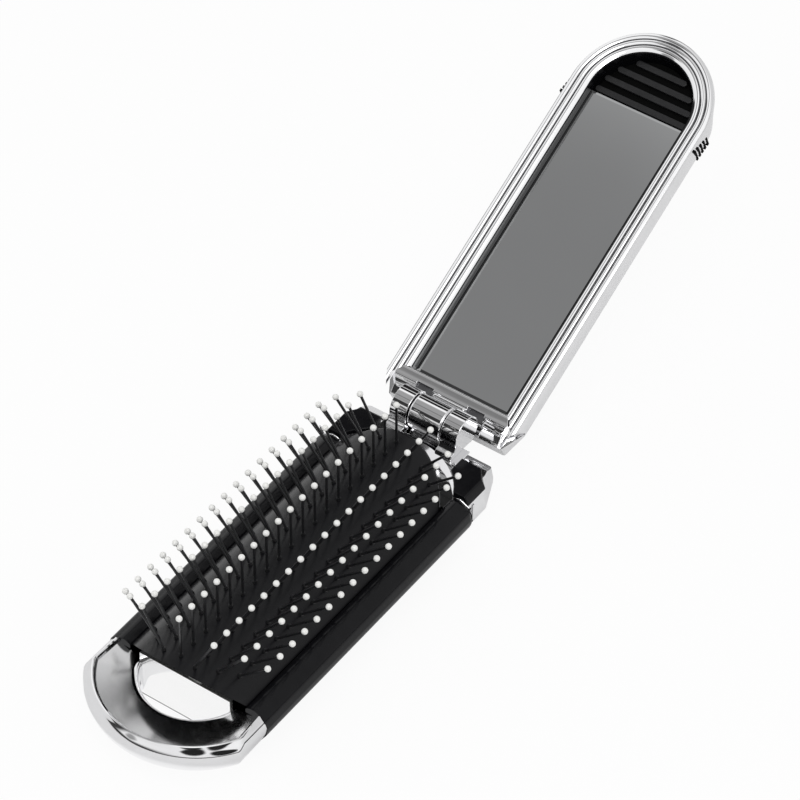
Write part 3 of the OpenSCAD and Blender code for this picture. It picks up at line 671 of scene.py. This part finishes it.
# %% [markdown]
# ## The finger loop
# The loop is a D-shaped ring whose section changes all the way round: straight arms, a
# crease at each corner, a narrow ridge on top, a hollow slope down to the lip, and an
# upright wall round the hole. Each of those lines is a curve in plan, and the skin is
# lofted through them. The ridge, lip and outer wall are polished; the slope between ridge
# and lip is satin, so that the pins above it show only as a soft shade. A thin wall under
# the pad's edge closes the straight side of the D.

# %% The lines of the loop
ARM_STEPS, ARC_STEPS = 6, 72


def plan_line(corner, centre_y, end_y):
    """Right to left round the loop: a straight arm down to the corner, then an arc.

    corner is (x at the body, x at the corner, y of the corner); the arc's radius follows
    from its centre and from where it ends."""
    body_x, corner_x, corner_y = corner
    radius_end = centre_y - end_y
    start = math.atan2(corner_y - centre_y, corner_x)
    radius_corner = math.hypot(corner_x, corner_y - centre_y)
    arm = [
        (body_x + (corner_x - body_x) * i / ARM_STEPS, BODY_Y0 + (corner_y - BODY_Y0) * i / ARM_STEPS)
        for i in range(ARM_STEPS)
    ]
    half = []
    for i in range(ARC_STEPS // 2 + 1):
        share = i / (ARC_STEPS // 2)
        angle = start + (-math.pi / 2 - start) * share
        radius = radius_corner + (radius_end - radius_corner) * share
        half.append((radius * math.cos(angle), centre_y + radius * math.sin(angle)))
    right = arm + half
    return right + [(-x, y) for x, y in reversed(right[:-1])]


def round_line(radius, centre_y, corner_y):
    """A line of the loop that is one arc right up to the body."""
    def x_at(y):
        return math.sqrt(max(radius ** 2 - (y - centre_y) ** 2, 0))
    arm = [
        (x_at(BODY_Y0 + (corner_y - BODY_Y0) * i / ARM_STEPS),
         BODY_Y0 + (corner_y - BODY_Y0) * i / ARM_STEPS)
        for i in range(ARM_STEPS)
    ]
    start = math.atan2(corner_y - centre_y, x_at(corner_y))
    half = [
        (radius * math.cos(start + (-math.pi / 2 - start) * i / (ARC_STEPS // 2)),
         centre_y + radius * math.sin(start + (-math.pi / 2 - start) * i / (ARC_STEPS // 2)))
        for i in range(ARC_STEPS // 2 + 1)
    ]
    right = arm + half
    return right + [(-x, y) for x, y in reversed(right[:-1])]


OUTER = dict(centre_y=-28.1)
RIDGE = dict(centre_y=-29.74)
HOLE = (10.6, -29.5)
LIP_Z, LIP_R = 10.35, 1.4
SLOPE_DROP, SLOPE_BEND = 0.85, 1.12
loop_lines = [
    (plan_line((13.4, 15.4, -38.0), end_y=-46.6, **OUTER), (0.0, 4.5)),
    (plan_line((16.0, 16.9, -39.2), end_y=-48.9, **OUTER), (4.6, 5.4)),
    (plan_line((17.7, 17.9, -39.8), end_y=-50.0, **OUTER), (7.2, 7.2)),
    (plan_line((18.2, 18.3, -40.0), end_y=-50.35, **OUTER), (8.6, 8.6)),
    (plan_line((18.25, 18.3, -40.0), end_y=-50.3, **OUTER), (9.6, 9.6)),
    (plan_line((18.0, 18.05, -39.8), end_y=-50.0, **OUTER), (10.5, 10.5)),
    (plan_line((17.5, 17.6, -39.3), end_y=-49.5, **OUTER), (11.25, 11.2)),
    (plan_line((16.95, 17.2, -38.95), end_y=-49.15, **RIDGE), (11.75, 11.65)),
    (plan_line((16.75, 17.05, -38.8), end_y=-48.98, **RIDGE), (11.95, 11.93)),
    (plan_line((16.5, 16.85, -38.62), end_y=-48.78, **RIDGE), (12.0, 12.0)),
    (plan_line((16.25, 16.6, -38.45), end_y=-48.55, **RIDGE), (11.9, 11.88)),
    (plan_line((16.1, 16.4, -38.3), end_y=-48.35, **RIDGE), (11.65, 11.6)),
]
slope_top = plan_line((15.95, 16.25, -38.2), end_y=-48.2, **RIDGE)
slope_foot = round_line(HOLE[0] + LIP_R, HOLE[1], -35.6)
for share in (0, 0.15, 0.3, 0.45, 0.6, 0.75, 0.9):
    line = [
        (a[0] + (b[0] - a[0]) * share, a[1] + (b[1] - a[1]) * share)
        for a, b in zip(slope_top, slope_foot)
    ]
    loop_lines.append((line, (LIP_Z + SLOPE_DROP * (1 - share) ** SLOPE_BEND,) * 2))
for angle in (0, 15, 30, 45, 60, 75, 90):
    loop_lines.append((
        round_line(HOLE[0] + LIP_R * (1 - math.sin(math.radians(angle))), HOLE[1], -35.4 + angle / 110),
        (LIP_Z - LIP_R * (1 - math.cos(math.radians(angle))),) * 2,
    ))
loop_lines += [
    (round_line(HOLE[0], HOLE[1], -34.6), (1.5, 5.7)),
    (round_line(HOLE[0] + 0.12, HOLE[1], -34.6), (1.2, 5.4)),
    (round_line(HOLE[0] + 0.4, HOLE[1], -34.7), (0.9, 5.2)),
    (round_line(HOLE[0] + 2.0, HOLE[1], -35.2), (0.0, 4.9)),
]


def loop_skin(lines):
    """Rings across the loop, each through all the given lines; heights blend from the body."""
    count = len(lines[0][0])
    rings = []
    for i in range(count):
        from_body = min(i, count - 1 - i) / ARM_STEPS
        share = min(from_body, 1.0)
        ease = share * share * (3 - 2 * share)
        rings.append([
            (*line[i], heights[0] + (heights[1] - heights[0]) * ease)
            for line, heights in lines
        ])
    return loft(rings, ring_closed=False)


SLOPE_FIRST, SLOPE_LAST = 11, 19
around = loop_lines[SLOPE_LAST:] + loop_lines[:SLOPE_FIRST + 1]
loop = piece("loop_ring", loop_skin(around), chrome, "base", ["finger_loop"], sharp=28)
piece("loop_slope", loop_skin(loop_lines[SLOPE_FIRST:SLOPE_LAST + 1]), satin_chrome, "base",
      ["finger_loop"], sharp=28)
# The cross wall's brighter plating is a painted reflection of the floor below the loop.
piece("loop_cross_wall", box_skin((-10.45, -33.1, 1.5), (10.45, -32.3, 12.55)), painted_bright_wall, "base",
      ["finger_loop"])
print("loop", len(loop.data.vertices), "points")

# %% [markdown]
# ## The hinge block
# The block closes the body at its far end. Its outline shrinks with height as its flared
# sides lean in, so it is lofted upwards. What other pieces need is carved out of it: the
# pocket round the end of the pad and the room for the middle knuckle.

# %% Shapes that need carving
def slab(outline, z0, z1):
    """A flat outline in X and Y, made z1 - z0 thick."""
    return loft([[(x, y, z) for x, y in outline] for z in (z0, z1)])


def across(outline, x0, x1):
    """A side outline in Y and Z, run across from x0 to x1."""
    return loft([[(x, y, z) for y, z in outline] for x in (x0, x1)])


def carve(thing, *skins):
    """Takes each skin's solid away from the thing."""
    for skin in skins:
        tool = bare_piece("carving_tool", skin)
        cut = thing.modifiers.new("cut", "BOOLEAN")
        cut.operation, cut.solver, cut.object = "DIFFERENCE", "EXACT", tool
        bpy.context.view_layer.update()
        whole = thing.evaluated_get(bpy.context.evaluated_depsgraph_get())
        fresh = bpy.data.meshes.new_from_object(whole)
        thing.modifiers.clear()
        thing.data = fresh
        bpy.data.objects.remove(tool)
    return thing


# %% Hinge block
BLOCK_Z, BLOCK_WIDE_Y, BLOCK_END_Y = 12.6, 37.9, 45.2
POCKET_Y, POCKET_R, SHELF_Z = 26.6, 15.1, 10.9
BARREL_R, MID_HALF = 3.75, 3.85
block_side = rounded(
    [(0, 0), (HALF_BACK, 0, 1.6), (HALF_W, BELLY_Z - 0.2, 1.8), (16.15, BLOCK_Z, 0.35), (0, BLOCK_Z)],
    steps=6, closed=False,
)[1:-1]


def block_ring(half, z):
    lean = HALF_W - half
    end = BLOCK_END_Y - max(3.0 - z, 0)
    right = [
        (half, BODY_Y1),
        (half, BLOCK_WIDE_Y + 0.7 * lean, 1.6),
        (15.0 - 0.35 * lean, end, 0.9),
    ]
    left = [(-corner[0], *corner[1:]) for corner in reversed(right)]
    return [(x, y, z) for x, y in rounded(right + left, steps=5)]


block = bare_piece("hinge_block_shell", loft([block_ring(half, z) for half, z in block_side]))
pocket = slab(arc((0, POCKET_Y), POCKET_R, 0, 360, 120)[:-1], SHELF_Z, 20)
barrel_room = across(arc((HINGE_Y, HINGE_Z), BARREL_R + 0.4, 0, 360, 64)[:-1], -4.05, 4.05)
rear_slope = across([(42.6, BLOCK_Z + 0.01), (46.0, 10.9), (46.0, 14.0), (42.6, 14.0)], -20, 20)
pad_room = slab(arc((0, PAD_END_Y), PAD_EDGE_X, 0, 360, 120)[:-1], END_WALL_Z, 20)
carve(block, pocket, pad_room, barrel_room, rear_slope)
finish_edges(block, bevel=0.12, sharp=30)
dress(block, chrome, "base", ["hinge_block"])
sill = [
    (9.2, 33.6), (11.2, 32.6), (12.3, 31.2), (13.38, 31.2), (13.38, BODY_Y1 + 0.1), (9.2, BODY_Y1 + 0.1),
]
sills = [slab([(side * x, y) for x, y in sill], 9.9, SHELF_Z) for side in (1, -1)]
piece("pocket_sills", joined(*sills), chrome, "base", ["hinge_block"])
print("hinge block", len(block.data.polygons), "faces")

# %% [markdown]
# ### Black caps
# Two flat caps lie on the block beside the hinge. Their inner edge follows the pocket.

# %% Black caps
CAP_TOP = 13.5
cap_outline = [
    *[(x, y) for x, y in arc((0, POCKET_Y), POCKET_R, 28.3, 50.7, 16)],
    (9.56, 42.1), (14.2, 42.0), (16.05, 39.45), (16.05, BODY_Y1 - 0.09), (13.5, BODY_Y1 - 0.09),
]
for side, node in ((1, "cap_plate_right"), (-1, "cap_plate_left")):
    rings = []
    for z, spread in ((11.5, 0.95), (BLOCK_Z, 0.5), (CAP_TOP, 0.0)):
        rings.append([(side * (x + spread if x > 15 else x), y, z) for x, y in cap_outline])
    piece(node.replace("plate", "top"), loft(rings), gloss_black, "base", [node], bevel=0.22)
print("caps", CAP_TOP - BLOCK_Z, "mm thick")

# %% [markdown]
# ## The hinge
# Three knuckles turn on one steel pin. The outer two belong to a bracket on the block and
# reach forward as flat feet. The middle one belongs to the cover's bar.

# %% Bracket with the two outer knuckles
knuckle_side = [
    *arc((HINGE_Y, HINGE_Z), BARREL_R, -65, 195, 60),
    *rounded([(42.3, 14.3), (41.7, 13.8, 0.5), (40.95, 13.7, 0.35), (40.6, 13.2, 0.3), (40.6, 12.6)],
             steps=3, closed=False)[1:],
    (46.8, 12.55),
]
plate_edge = arc((0, POCKET_Y), POCKET_R + 0.6, 53.0, 127.0, 32)
plate_outline = [*plate_edge, (-9.4, BLOCK_END_Y - 0.1), (9.4, BLOCK_END_Y - 0.1)]
bracket = piece(
    "bracket",
    joined(
        across(knuckle_side, MID_HALF + 0.2, 7.9),
        across(knuckle_side, -7.9, -MID_HALF - 0.2),
        slab(plate_outline, BLOCK_Z - 0.3, BLOCK_Z + 0.02),
    ),
    chrome, "base", ["hinge_bracket"], bevel=0.5, sharp=40,
)
print("bracket", len(bracket.data.vertices), "points")

# %% [markdown]
# ## The pad
# The pad is an arched rubber sheet. Its end by the finger loop leans out over the loop,
# and its end by the hinge is round and turns down. When the cover shuts, the middle of
# the pad goes down with the pins while its edges stay, so it is made as two halves.

# %% Pad
PAD_R, PAD_Z, PAD_T = 16.0, 3.1, 1.5
PAD_Y0, PAD_LEAN = -31.75, 5.2 / 7.1
PAD_ANGLE = math.degrees(math.asin(PAD_EDGE_X / PAD_R))
pad_angles = np.radians([0, 0.15, *np.linspace(2, PAD_ANGLE, 28)])


def pad_point(radius, angle, side):
    return side * radius * math.sin(angle), PAD_Z + radius * math.cos(angle)


def pad_half(side):
    """Rings from the loop end to the hinge end; each goes out along the top and back below."""
    radii = [(PAD_R, a) for a in pad_angles] + [(PAD_R - PAD_T, a) for a in reversed(pad_angles)]
    rings = []
    for share in np.linspace(0, 1, 24):
        ring = []
        for radius, angle in radii:
            x, z = pad_point(radius, angle, side)
            start = PAD_Y0 - (z - RAIL_Z) * PAD_LEAN
            outer_x = PAD_R * math.sin(angle)
            stop = PAD_END_Y + math.sqrt(PAD_END_R ** 2 - outer_x ** 2)
            stop -= 0.9 if radius == PAD_R else PAD_T
            ring.append((x, start + (stop - start) * share, z))
        rings.append(ring)
    apron = []
    for turn in (0, 22.5, 45, 67.5, 90, 91):
        row = []
        for angle in pad_angles:
            x, z = pad_point(PAD_R, angle, side)
            edge = PAD_END_Y + math.sqrt(PAD_END_R ** 2 - (PAD_R * math.sin(angle)) ** 2)
            a = math.radians(min(turn, 90))
            y = edge - 0.9 + 0.9 * math.sin(a)
            drop = 0.9 * (1 - math.cos(a))
            row.append((x, y, z - drop if turn < 91 else 11.0))
        apron.append(row)
    return joined(loft(rings, caps=False), loft(apron, ring_closed=False))


for side, word in ((1, "right"), (-1, "left")):
    half = piece(f"pad_{word}", pad_half(side), rubber, None, ["pin_pad"], sharp=50)
    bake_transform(half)
print("pad halves", len(half.data.vertices), "points each")

# %% [markdown]
# ## The pins
# The CAD model's wires and ball tips are fine as they are; they only need smooth shading.

# %% Pins and tips
for letter in "abcdefg":
    for node, material in (("pin_row_", wire_black), ("pin_tips_", tip_white)):
        solid = frame["nodes"][node + letter]
        solid.data.materials.clear()
        solid.data.materials.append(material)
        finish_edges(solid)
print("pins in 7 rows")

# %% [markdown]
# ## The cover
# The cover is drawn flat: X across, then the distance from the hinge axis along it, then
# the height out of the mirror. A half section runs down one side, round the far end and
# back. At the near end each point of the section stops where the bar or the slanted
# corner needs it to.

# %% Running a half section round the cover
COVER_LEN = 76.1
END_STEPS = 56
END_DRAW = 1.0


def end_draw(angle, x, h, top=-3.4, deep=-5.2):
    """How far the far end is drawn in under the rim, where fingertips lift the cover."""
    if x < 12.5:
        return 0.0
    reach = min(max(min(angle, math.pi - angle) / math.radians(24), 0.0), 1.0)
    depth = min(max((top - h) / (top - deep), 0.0), 1.0)
    return END_DRAW * reach * reach * (3 - 2 * reach) * depth


def run_round(section, near, stations=(12, 30, 50, 70)):
    """Rings of (x, v, h) for a half section of (x, h); near(x) says where it starts."""
    right = [[(x, near(x), h) for x, h in section]]
    right += [[(x, v, h) for x, h in section] for v in stations]
    end = []
    for i in range(END_STEPS + 1):
        angle = math.pi * i / END_STEPS
        ring = [(x - end_draw(angle, x, h), h) for x, h in section]
        end.append([(x * math.cos(angle), COVER_LEN + x * math.sin(angle), h) for x, h in ring])
    left = [[(-x, v, h) for x, v, h in ring] for ring in reversed(right)]
    return right + end + left


def corner_start(x):
    """The slanted near corners of the cover."""
    return 1.5 + max(abs(x) - 13.3, 0) * 4.8 / 2.6


def bead(x0, h0, x1, h1, crown, steps=8):
    """A shallow swelling between two creases, without its last point."""
    return [
        (x0 + (x1 - x0) * i / steps, h0 + (h1 - h0) * i / steps + crown * math.sin(math.pi * i / steps))
        for i in range(steps)
    ]


# %% Rim of the cover
SEAM_H = -5.4
rim = [
    (11.3, SEAM_H), (11.3, -3.35), (11.36, -3.2),
    *bead(11.45, -3.15, 12.77, -2.99, 0.22), *bead(12.77, -2.99, 13.99, -2.93, 0.26),
    *bead(13.99, -2.93, 15.1, -2.8, 0.2),
    *rounded([(14.9, -2.75), (15.3, -2.85, 0.3), (15.75, -3.9, 0.8), (16.0, -5.0, 0.3), (15.95, SEAM_H)],
             steps=4, closed=False)[1:],
]


def rim_start(x):
    if x <= 11.8:
        return 7.76
    if x <= 13.5:
        return 7.76 - (x - 11.8) * 1.96 / 1.7
    return corner_start(x)


piece("cover_rim", loft(run_round(rim, rim_start)), chrome, "cover", ["cover_frame"],
      sharp=24, on_cover=True)
# Dark ribbons in the rim's two creases are painted shade.
creases = [
    run_round([(x - 0.2, h + 0.1), (x + 0.2, h + 0.1), (x, h - 0.1)], rim_start)
    for x, h in ((12.77, -2.99), (13.99, -2.93))
]
piece("rim_crease_shade", joined(*[loft(rings) for rings in creases]), painted_shade_metal, "cover",
      ["cover_frame"], sharp=60, on_cover=True)
print("rim section", len(rim), "points")

# %% Back shell of the cover
BACK_H, GRIP_V, GRIP_DEPTH, GRIP_TOP = -9.0, 72.4, 0.8, -6.0
shell_out = rounded(
    [(0, BACK_H), (13.0, BACK_H, 2.5), (15.95, GRIP_TOP, 0.5), (15.95, SEAM_H)], steps=8, closed=False)
shell_in = [(14.7, SEAM_H), (14.7, -6.3), (12.3, -7.9), (0, -7.9)]
drawn_in = [
    (x - GRIP_DEPTH if x > 12.5 else x, h + GRIP_DEPTH if x < 15 else h)
    if h < GRIP_TOP - 0.2 else (x, h)
    for x, h in shell_out
]


def shell_skin():
    full, inset = shell_out + shell_in, drawn_in + shell_in
    right = [[(x, corner_start(x), h) for x, h in full]]
    right += [[(x, v, h) for x, h in full] for v in (12, 30, 50, 70, GRIP_V)]
    right += [[(x, GRIP_V + 0.05, h) for x, h in inset]]
    left = [[(-x, v, h) for x, v, h in ring] for ring in reversed(right)]
    end = []
    for i in range(END_STEPS + 1):
        angle = math.pi * i / END_STEPS
        ring = [(x - end_draw(angle, x, h) if x > 15 else x, h) for x, h in inset]
        end.append([(x * math.cos(angle), COVER_LEN + x * math.sin(angle), h) for x, h in ring])
    near_wall = []
    for x, h in [(-x, h) for x, h in reversed(shell_out)] + shell_out[1:]:
        near_wall.append([(x, corner_start(x), h), (x, corner_start(x), SEAM_H)])
    return joined(
        loft(right + end + left, caps=False),
        loft(near_wall, ring_closed=False),
    )


piece("cover_back", shell_skin(), chrome, "cover", ["cover_shell"], sharp=28, on_cover=True)

# %% [markdown]
# The shell is open inside. A small shelf in its near corners closes the view into it beside
# the bar.

# %% Shelf in the near corners
shelf = [(-13.25, 1.55), (13.25, 1.55), (15.85, 6.35), (15.85, 8.2), (-15.85, 8.2), (-15.85, 6.35)]
piece("near_shelf", slab(shelf, SEAM_H - 0.5, SEAM_H - 0.02), chrome, "cover", ["cover_shell"],
      on_cover=True)
print("shell section", len(shell_out), "points")

# %% [markdown]
# ### Back grip
# A black cap round the far end of the back, with a few teeth cut across it where it starts.
# The teeth go on up the side walls as short grooves, each shorter than the last, filled with a dull
# black that paints the shade in them.

# %% Back grip
TOOTH_PITCH, TEETH = 1.09, 5


def grip_ring(v, inset):
    section = [(x, h) for x, h in shell_out if h < GRIP_TOP + 0.01]
    return [
        (x - inset if x > 12 else x, v, h + (0.35 * inset / 0.55 if x < 15 else 0)) for x, h in section
    ]


def grip_skin():
    right = []
    for i in range(TEETH):
        v = GRIP_V + 0.08 + i * TOOTH_PITCH
        for step, inset in ((0.0, 0), (0.5, 0), (0.58, 0.55), (1.0, 0.55)):
            if v + step < COVER_LEN - 0.05:
                right.append(grip_ring(v + step, inset))
    right.append(grip_ring(COVER_LEN - 0.03, 0))
    left = [[(-x, v, h) for x, v, h in ring] for ring in reversed(right)]
    section = grip_ring(0, 0)
    end = []
    for i in range(END_STEPS + 1):
        angle = math.pi * i / END_STEPS
        ring = [(x - end_draw(angle, x, h), h) for x, _, h in section]
        end.append([(x * math.cos(angle), COVER_LEN + x * math.sin(angle), h) for x, h in ring])
    return loft(right + end + left, ring_closed=False)


piece("grip_cap", grip_skin(), gloss_black, "cover", ["back_grip"], sharp=30, on_cover=True)

# %% Grooves in the side walls
GROOVE_V, GROOVE_PITCH = 71.75, 0.95
side_teeth = []
for side in (1, -1):
    for i in range(TEETH):
        v = GROOVE_V + i * GROOVE_PITCH
        low, high = -6.7 - 0.12 * i, -3.4 - 0.3 * i
        corners = [(v - 0.1, low), (v + 0.42, low), (v + 0.62, high), (v + 0.1, high)]
        skin = loft([[(x, a, h) for a, h in corners] for x in (side * 15.2, side * 16.02)])
        side_teeth.append(skin)
piece("grip_teeth", joined(*side_teeth), recess_shade_black, "cover", ["back_grip"], on_cover=True)
print("teeth", TEETH)

# %% [markdown]
# ### The bar with the middle knuckle
# A bar closes the near end of the rim. It slopes down towards the hinge, has a notch above
# each outer knuckle, and carries the middle knuckle on an arm. A low lip runs under it.

# %% Bar
BAR_H = -2.2
NOTCH_X0, NOTCH_X1, NOTCH_V = 4.1, 8.0, 5.6
# distance from the hinge axis, half width, height of the top
BAR_STEPS = [
    (3.1, 12.0, -4.0), (3.4, 12.2, -3.4), (3.9, 12.6, -3.05), (4.35, 12.9, -2.95),
    (4.6, 12.95, -2.85), (4.75, 13.0, -2.5), (5.0, 13.1, BAR_H - 0.1), (5.25, 13.2, BAR_H - 0.02),
    (5.6, 13.35, BAR_H), (6.8, 12.6, BAR_H), (7.15, 12.35, BAR_H - 0.03),
    (7.35, 12.2, BAR_H - 0.14), (7.42, 12.15, BAR_H - 0.3),
]
bar_rings = []
for v, half, top in BAR_STEPS:
    bar_rings.append([(-half, v, SEAM_H), (half, v, SEAM_H), (half, v, top), (-half, v, top)])
bar = bare_piece("bar", loft(bar_rings))
carve(
    bar,
    box_skin((NOTCH_X0, 0, -8), (NOTCH_X1, NOTCH_V, 0)),
    box_skin((-NOTCH_X1, 0, -8), (-NOTCH_X0, NOTCH_V, 0)),
)
finish_edges(bar, bevel=0.14, sharp=30)
dress(bar, chrome, "cover", ["cover_hinge_bar"], on_cover=True)

# %% [markdown]
# A dull dark block lies in each notch as painted shade, so that the notch reads as deep.

# %% Notch floors
painted_notch_shade = [
    box_skin((side * 6.05 - 1.9, 3.75, -3.6), (side * 6.05 + 1.9, 5.55, -3.0)) for side in (1, -1)
]
piece("painted_notch_shade", joined(*painted_notch_shade), painted_shade_metal, "cover", ["cover_hinge_bar"], on_cover=True)
print("notch floors", len(painted_notch_shade))

# %% Middle knuckle and lip
arm_side = [
    *arc((0, 0), BARREL_R, 38, 275, 56),
    (3.4, -4.9), (6.0, -4.9), (6.0, -2.35), (4.6, -2.3), (3.9, -1.5), (3.45, 0.2),
]
piece("middle_knuckle", across(arm_side, -MID_HALF, MID_HALF), chrome, "cover", ["cover_hinge_bar"],
      bevel=0.5, sharp=40, on_cover=True)
lip_side = [(1.32, SEAM_H), (1.32, -4.6), (3.4, -3.75), (5.0, -3.75), (5.0, SEAM_H)]
piece("bar_lip", across(lip_side, -12.8, 12.8), chrome, "cover", ["cover_hinge_bar"],
      bevel=0.15, on_cover=True)
print("bar and knuckle")

# %% [markdown]
# ### Mirror and front grip
# The glass has a ground bevel all round. Beyond it four black ribs with round ends stand
# in the round end of the window.

# %% Mirror
MIRROR_V0, MIRROR_V1, MIRROR_H = 8.3, 75.4, -5.4
GLASS_T, GLASS_HALF, GLASS_BEVEL, GLASS_DROP = 1.1, 11.05, 0.45, 0.1


def glass_ring(inset, h):
    half = GLASS_HALF - inset
    return [(-half, MIRROR_V0 + inset, h), (half, MIRROR_V0 + inset, h),
            (half, MIRROR_V1 - inset, h), (-half, MIRROR_V1 - inset, h)]


glass_rings = [
    glass_ring(0, MIRROR_H - GLASS_T),
    glass_ring(0, MIRROR_H - GLASS_DROP),
    glass_ring(GLASS_BEVEL, MIRROR_H),
]
piece("mirror", loft(glass_rings), mirror_glass, "cover", ["mirror_glass"], sharp=10, on_cover=True)
print("glass", 2 * GLASS_HALF, "mm wide")

# %% [markdown]
# The tray shows only as a thin black lining round the glass and the ribs, so it is drawn as
# that lining and a floor under the glass.

# %% Tray
TRAY_V0, TRAY_X, TRAY_H0, TRAY_H1 = 7.9, 10.1, -8.4, -7.9
LINING = [
    (11.12, -5.9), (11.12, -3.4), (11.28, -3.4), (11.28, TRAY_H0), (10.0, TRAY_H0), (10.0, -7.7),
    (10.6, -7.7), (10.95, -6.9),
]
piece("tray_lining", loft(run_round(LINING, lambda x: TRAY_V0)), gloss_black, "cover",
      ["mirror_tray"], on_cover=True)
piece("tray_floor", box_skin((-TRAY_X, TRAY_V0, TRAY_H0), (TRAY_X, COVER_LEN, TRAY_H1)), gloss_black,
      "cover", ["mirror_tray"], on_cover=True)
print("lining", len(LINING), "points")

# %% Front grip
RIBS, RIB_W, RIB_PITCH, RIB_FLOOR, RIB_TOP = 4, 1.35, 2.74, -6.4, -5.45
WINDOW_R, FLOOR_R, RIB_GAP = 10.9, 10.5, 0.15
ribs = []
for i in range(RIBS):
    v = MIRROR_V1 + 1.0 + i * RIB_PITCH
    half = math.sqrt(WINDOW_R ** 2 - max(v + 0.5 - COVER_LEN, 0) ** 2) - RIB_GAP
    ends = [
        *arc((half - RIB_W / 2, v), RIB_W / 2, -90, 90, 12),
        *arc((RIB_W / 2 - half, v), RIB_W / 2, 90, 270, 12),
    ]
    ribs.append(slab(ends, RIB_FLOOR, RIB_TOP))
window_end = [
    (-FLOOR_R, MIRROR_V1 + 0.2), (FLOOR_R, MIRROR_V1 + 0.2),
    *arc((0, COVER_LEN), FLOOR_R, 0, 180, 60),
]
# The floor between the ribs is the insert's black, made darker and duller as painted shade.
piece("grip_floor", slab(window_end, RIB_FLOOR - 0.1, RIB_FLOOR + 0.02), recess_shade_black, "cover",
      ["grip_insert"], on_cover=True)
piece("grip_ribs", joined(*ribs), rib_black, "cover", ["grip_insert"], bevel=0.2, sharp=40,
      on_cover=True)
print("ribs", len(ribs))

# %% [markdown]
# ## Finish
# The standard view keeps white white.

# %% View transform
bpy.context.scene.view_settings.view_transform = "Standard"
